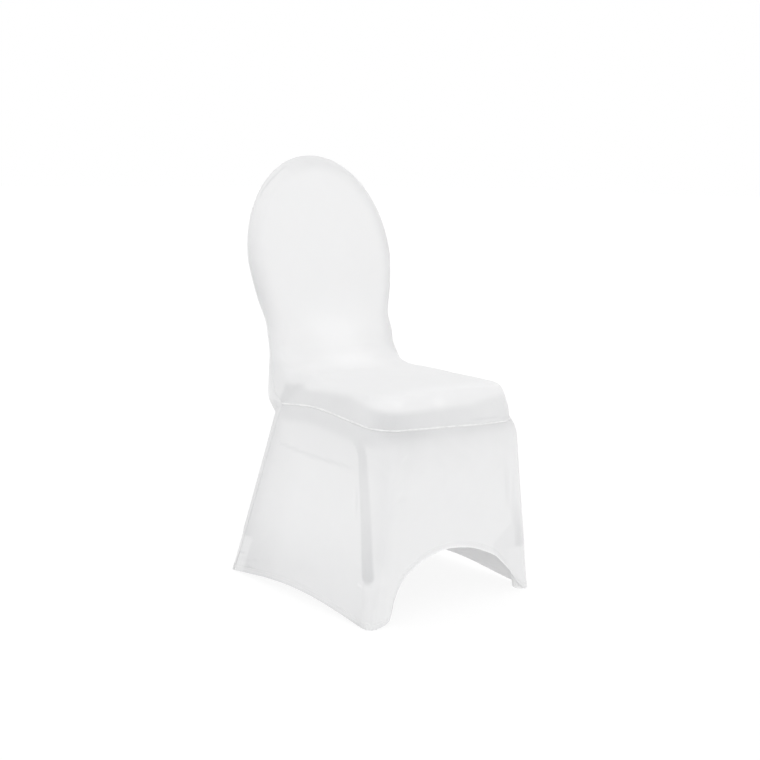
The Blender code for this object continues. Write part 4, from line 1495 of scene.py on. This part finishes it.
def seam_shade(ridge):
    """Greyness along the seat's seam, lighter and darker by turns."""
    across = ridge[..., 0] - ridge[..., 1]
    slow = np.sin(95 * across + 2 * np.sin(37 * ridge[..., 0]))
    return 0.10 + 0.14 * slow + 0.10 * np.sin(410 * across)


def square_to(vectors, ahead):
    """Unit vectors with their part along the direction ahead taken out."""
    return unit(vectors - (vectors * ahead).sum(axis=1, keepdims=True) * ahead)


def tube(path, side, half_side, half_up):
    """A ridge carried along a path: an ellipse across it, half_side wide and half_up high.

    side holds a vector across the ridge at each point, and the height is the
    path's direction crossed with it. The ends are drawn in to a point, and the
    width goes up and down by 1 + 0.10 sin(s / 6.1 mm) + 0.08 sin(s / 13.7 mm + 1).
    """
    ahead = unit(np.gradient(path, axis=0))
    side = square_to(side, ahead)
    high = np.cross(ahead, side)
    run = run_length(path)
    ends = np.sqrt(np.clip(np.minimum(run, run[-1] - run) / half_side, 0.0, 1.0))
    uneven = 1 + 0.10 * np.sin(run / 0.0061) + 0.08 * np.sin(run / 0.0137 + 1)
    turn = np.linspace(0.0, 2 * math.pi, RIDGE_SIDES + 1)[None, :, None]
    ring = side[:, None] * half_side * np.cos(turn) + high[:, None] * half_up * np.sin(turn)
    return path[:, None, :] + ring * (ends * uneven)[:, None, None]


def add_ridge(name, path, side, half, rise, shade):
    """A ridge of rolled cloth along a seam; shade gives its greyness at its points."""
    ridge = tube(path, side, half, half * rise)
    mesh = cloth_mesh(name, ridge, flat_map(ridge), shade(ridge))
    add_piece(name, mesh, "cover_cloth", cover_cloths()[0])


def stitch_row(path, normal, pitch):
    """Stitches a pitch apart along a path: centres, directions ahead and directions out."""
    run = run_length(path)
    where = np.arange(pitch / 2, run[-1], pitch)
    points, out = (np.column_stack([np.interp(where, run, column) for column in values.T])
                   for values in (path, normal))
    ahead = unit(np.gradient(points, axis=0))
    return points, ahead, square_to(out, ahead)


def add_stitches(name, rows, slot):
    """Many small thread humps as one piece.

    Each is a ball drawn out along the row: rings of six points at places c
    from -1 to 1, with radius sqrt(1 - c^2), scaled to the stitch's length and
    the thread's thickness.
    """
    size = sizes()
    place = np.array(STITCH_RINGS)
    turn = np.linspace(0.0, 2 * math.pi, STITCH_SIDES + 1)[:-1]
    radius = np.sqrt(1 - place ** 2)[:, None] * size.stitch_half
    local = np.stack([
        np.repeat(place, STITCH_SIDES) * size.stitch_length / 2,
        (radius * np.cos(turn)).ravel(),
        (radius * np.sin(turn)).ravel() + size.stitch_half * STITCH_RISE,
    ], axis=1)
    centre, ahead, out = (np.concatenate(part) for part in zip(*rows))
    axes = np.stack([ahead, np.cross(out, ahead), out], axis=1)
    points = centre[:, None] + local[None] @ axes
    ring = np.arange(STITCH_SIDES)
    start = np.arange(len(place) - 1)[:, None] * STITCH_SIDES
    first, second = ((start + around[None]).ravel() for around in (ring, (ring + 1) % STITCH_SIDES))
    quad = np.column_stack([first, second, second + STITCH_SIDES, first + STITCH_SIDES])
    faces = (quad[None] + np.arange(len(centre))[:, None, None] * len(local)).reshape(-1, 4)
    mesh = bpy.data.meshes.new(name)
    mesh.from_pydata(points.reshape(-1, 3), [], faces)
    add_piece(name, finished(mesh, turn_out=True), slot, material("thread", thread_material))


class COVER_OT_seat_and_inner_back(bpy.types.Operator):
    """Make the seat top and the front of the hood, cut in one"""
    bl_idname = "cover.seat_and_inner_back"
    bl_label = "Seat and inner back"

    def execute(self, context):
        add_sheet("seat_and_inner_back", seat_and_inner_surface(), "cover_cloth",
                  cover_cloths())
        return {"FINISHED"}


class COVER_OT_outer_back(bpy.types.Operator):
    """Make the rear of the hood, down to the rear hem"""
    bl_idname = "cover.outer_back"
    bl_label = "Outer back"

    def execute(self, context):
        add_sheet("outer_back", outer_surface(), "cover_cloth", cover_cloths())
        return {"FINISHED"}


class COVER_OT_skirt(bpy.types.Operator):
    """Make the skirt: near side, front and far side in one wrap"""
    bl_idname = "cover.skirt"
    bl_label = "Skirt"

    def execute(self, context):
        add_sheet("skirt", skirt_surface(), "cover_cloth", cover_cloths())
        return {"FINISHED"}


class COVER_OT_foot_pockets(bpy.types.Operator):
    """Make the four foot pockets inside the skirt's corners"""
    bl_idname = "cover.foot_pockets"
    bl_label = "Foot pockets"

    def execute(self, context):
        cloth = material("pocket_knit", knit_material, "pocket_knit", colours().pocket, False)
        for node, grid in pocket_grids():
            surface = grid, flat_map(grid), np.zeros(grid.shape[:2])
            add_sheet(node, surface, "foot_pocket_cloth", (cloth, cloth))
        return {"FINISHED"}


class COVER_OT_seams(bpy.types.Operator):
    """Sew the seat's seam ridge, the hood's seam and the stitches of the hems"""
    bl_idname = "cover.seams"
    bl_label = "Seams and stitches"

    def execute(self, context):
        size = sizes()
        skirt = skirt_surface()[0]
        outer, _, tone = outer_surface()
        inwards = skirt[-3] - skirt[-1]
        add_ridge("seat_seam", skirt[-1], inwards, size.seam_ridge, SEAT_SEAM_RISE, seam_shade)
        inwards = outer[:, -3] - outer[:, -1]
        # The bead takes the outer back's greyness at its seam, painted rim shade included, and is a little
        # greyer
        add_ridge("back_seam", outer[:, -1], inwards, size.seam_bead, BACK_SEAM_RISE,
                  lambda ridge: np.broadcast_to(tone[:, -1:], ridge.shape[:2]) + colours().bead_shade)

        skirt_normal, outer_normal = skirt_normals(skirt), outer_normals(outer)
        skirt_rows, rear_rows, pocket_rows = [], [], []
        for index in (HEM_STEPS.index(step) for step in HEM_STITCHES):
            skirt_rows.append(stitch_row(skirt[index], skirt_normal[index], size.stitch_pitch))
            line, out = (np.concatenate([rows[index, ::-1], rows[-1 - index, 1:]])
                         for rows in (outer, outer_normal))
            rear_rows.append(stitch_row(line, out, size.stitch_pitch))
        for _, grid in pocket_grids():
            line = grid[-3]
            pitch = size.stitch_pitch * POCKET_PITCH_SHARE
            pocket_rows.append(stitch_row(line, line - line.mean(axis=0), pitch))
        add_stitches("skirt_hem_stitches", skirt_rows, "cover_cloth")
        add_stitches("rear_hem_stitches", rear_rows, "cover_cloth")
        add_stitches("pocket_stitches", pocket_rows, "foot_pocket_cloth")
        return {"FINISHED"}


def direction(azimuth, elevation):
    """Unit vector from the target to a place at an azimuth and an elevation."""
    flat = math.cos(elevation)
    return Vector((math.sin(azimuth) * flat, -math.cos(azimuth) * flat, math.sin(elevation)))


class COVER_OT_stage(bpy.types.Operator):
    """Set up the floor, the soft studio light and the camera"""
    bl_idname = "cover.stage"
    bl_label = "Stage"

    def execute(self, context):
        stage = context.scene.cover_stage
        scene = context.scene
        mesh = bpy.data.meshes.new("floor")
        corners = [(-1, -1, 0), (1, -1, 0), (1, 1, 0), (-1, 1, 0)]
        mesh.from_pydata([(x * FLOOR_HALF, y * FLOOR_HALF, z) for x, y, z in corners], [], [(0, 1, 2, 3)])
        nodes = Nodes("pale_floor")
        base = colours().floor
        tint = nodes.mix(nodes.noise(scale=0.7, detail=2.0), rgba(base), rgba(base, 0.99))
        nodes.feed(
            nodes.shader, Base_Color=tint, Roughness=0.9, Specular_IOR_Level=0.1, Emission_Color=WHITE,
            Emission_Strength=stage.floor_glow)
        mesh.materials.append(nodes.material)
        floor = bpy.data.objects.new("floor", mesh)
        scene.collection.objects.link(floor)

        world = bpy.data.worlds.new("studio")
        world.use_nodes = True
        sky = world.node_tree.nodes["Background"]
        sky.inputs["Color"].default_value = WHITE
        sky.inputs["Strength"].default_value = stage.sky
        scene.world = world
        scene.view_settings.view_transform = "Standard"

        for name, place, size in LAMPS:
            light = bpy.data.lights.new(name, "AREA")
            light.size = size
            light.energy = getattr(stage, name)
            lamp = bpy.data.objects.new(name, light)
            lamp.location = place
            lamp.rotation_euler = (Vector(place) - CAMERA_TARGET).to_track_quat("Z", "Y").to_euler()
            scene.collection.objects.link(lamp)

        back = direction(stage.azimuth, stage.elevation)
        right = Vector((math.cos(stage.azimuth), math.sin(stage.azimuth), 0.0))
        above = back.cross(right)
        turned_right = right * math.cos(stage.roll) - above * math.sin(stage.roll)
        turned_up = right * math.sin(stage.roll) + above * math.cos(stage.roll)
        camera = bpy.data.objects.new("camera", bpy.data.cameras.new("camera"))
        camera.data.sensor_width = SENSOR
        camera.data.lens = SENSOR * stage.focal_share
        camera.data.shift_x = (PICTURE_SIZE / 2 - PICTURE_CENTRE[0]) / PICTURE_SIZE
        camera.data.shift_y = (PICTURE_CENTRE[1] - PICTURE_SIZE / 2) / PICTURE_SIZE
        turn = Matrix((turned_right, turned_up, back)).transposed().to_4x4()
        camera.matrix_world = Matrix.Translation(CAMERA_TARGET + back * stage.distance) @ turn
        scene.collection.objects.link(camera)
        scene.camera = camera
        return {"FINISHED"}


PIECE_OPERATORS = (
    COVER_OT_stage,
    COVER_OT_seat_and_inner_back,
    COVER_OT_outer_back,
    COVER_OT_skirt,
    COVER_OT_foot_pockets,
    COVER_OT_seams,
)


class COVER_PT_panel(bpy.types.Panel):
    """Buttons and settings of the cover"""
    bl_idname = "COVER_PT_panel"
    bl_label = "Stretch cover"
    bl_space_type = "VIEW_3D"
    bl_region_type = "UI"
    bl_category = "Cover"

    def draw(self, context):
        for operator in PIECE_OPERATORS:
            self.layout.operator(operator.bl_idname)
        for group in (context.scene.cover_sizes, context.scene.cover_colours, context.scene.cover_stage):
            for name in group.bl_rna.properties.keys():
                if name not in ("rna_type", "name"):
                    self.layout.prop(group, name)


CLASSES = (CoverSizes, CoverColours, StageSettings) + PIECE_OPERATORS + (COVER_PT_panel,)


def register():
    """Register the classes and hang the settings on the scene."""
    for item in CLASSES:
        bpy.utils.register_class(item)
    bpy.types.Scene.cover_sizes = PointerProperty(type=CoverSizes)
    bpy.types.Scene.cover_colours = PointerProperty(type=CoverColours)
    bpy.types.Scene.cover_stage = PointerProperty(type=StageSettings)


def unregister():
    """Take the settings and the classes away again."""
    for name in ("cover_sizes", "cover_colours", "cover_stage"):
        delattr(bpy.types.Scene, name)
    for item in reversed(CLASSES):
        bpy.utils.unregister_class(item)


def main():
    """Make every piece."""
    register()
    for operator in PIECE_OPERATORS:
        group, name = operator.bl_idname.split(".")
        getattr(getattr(bpy.ops, group), name)()


if __name__ == "__main__":
    main()
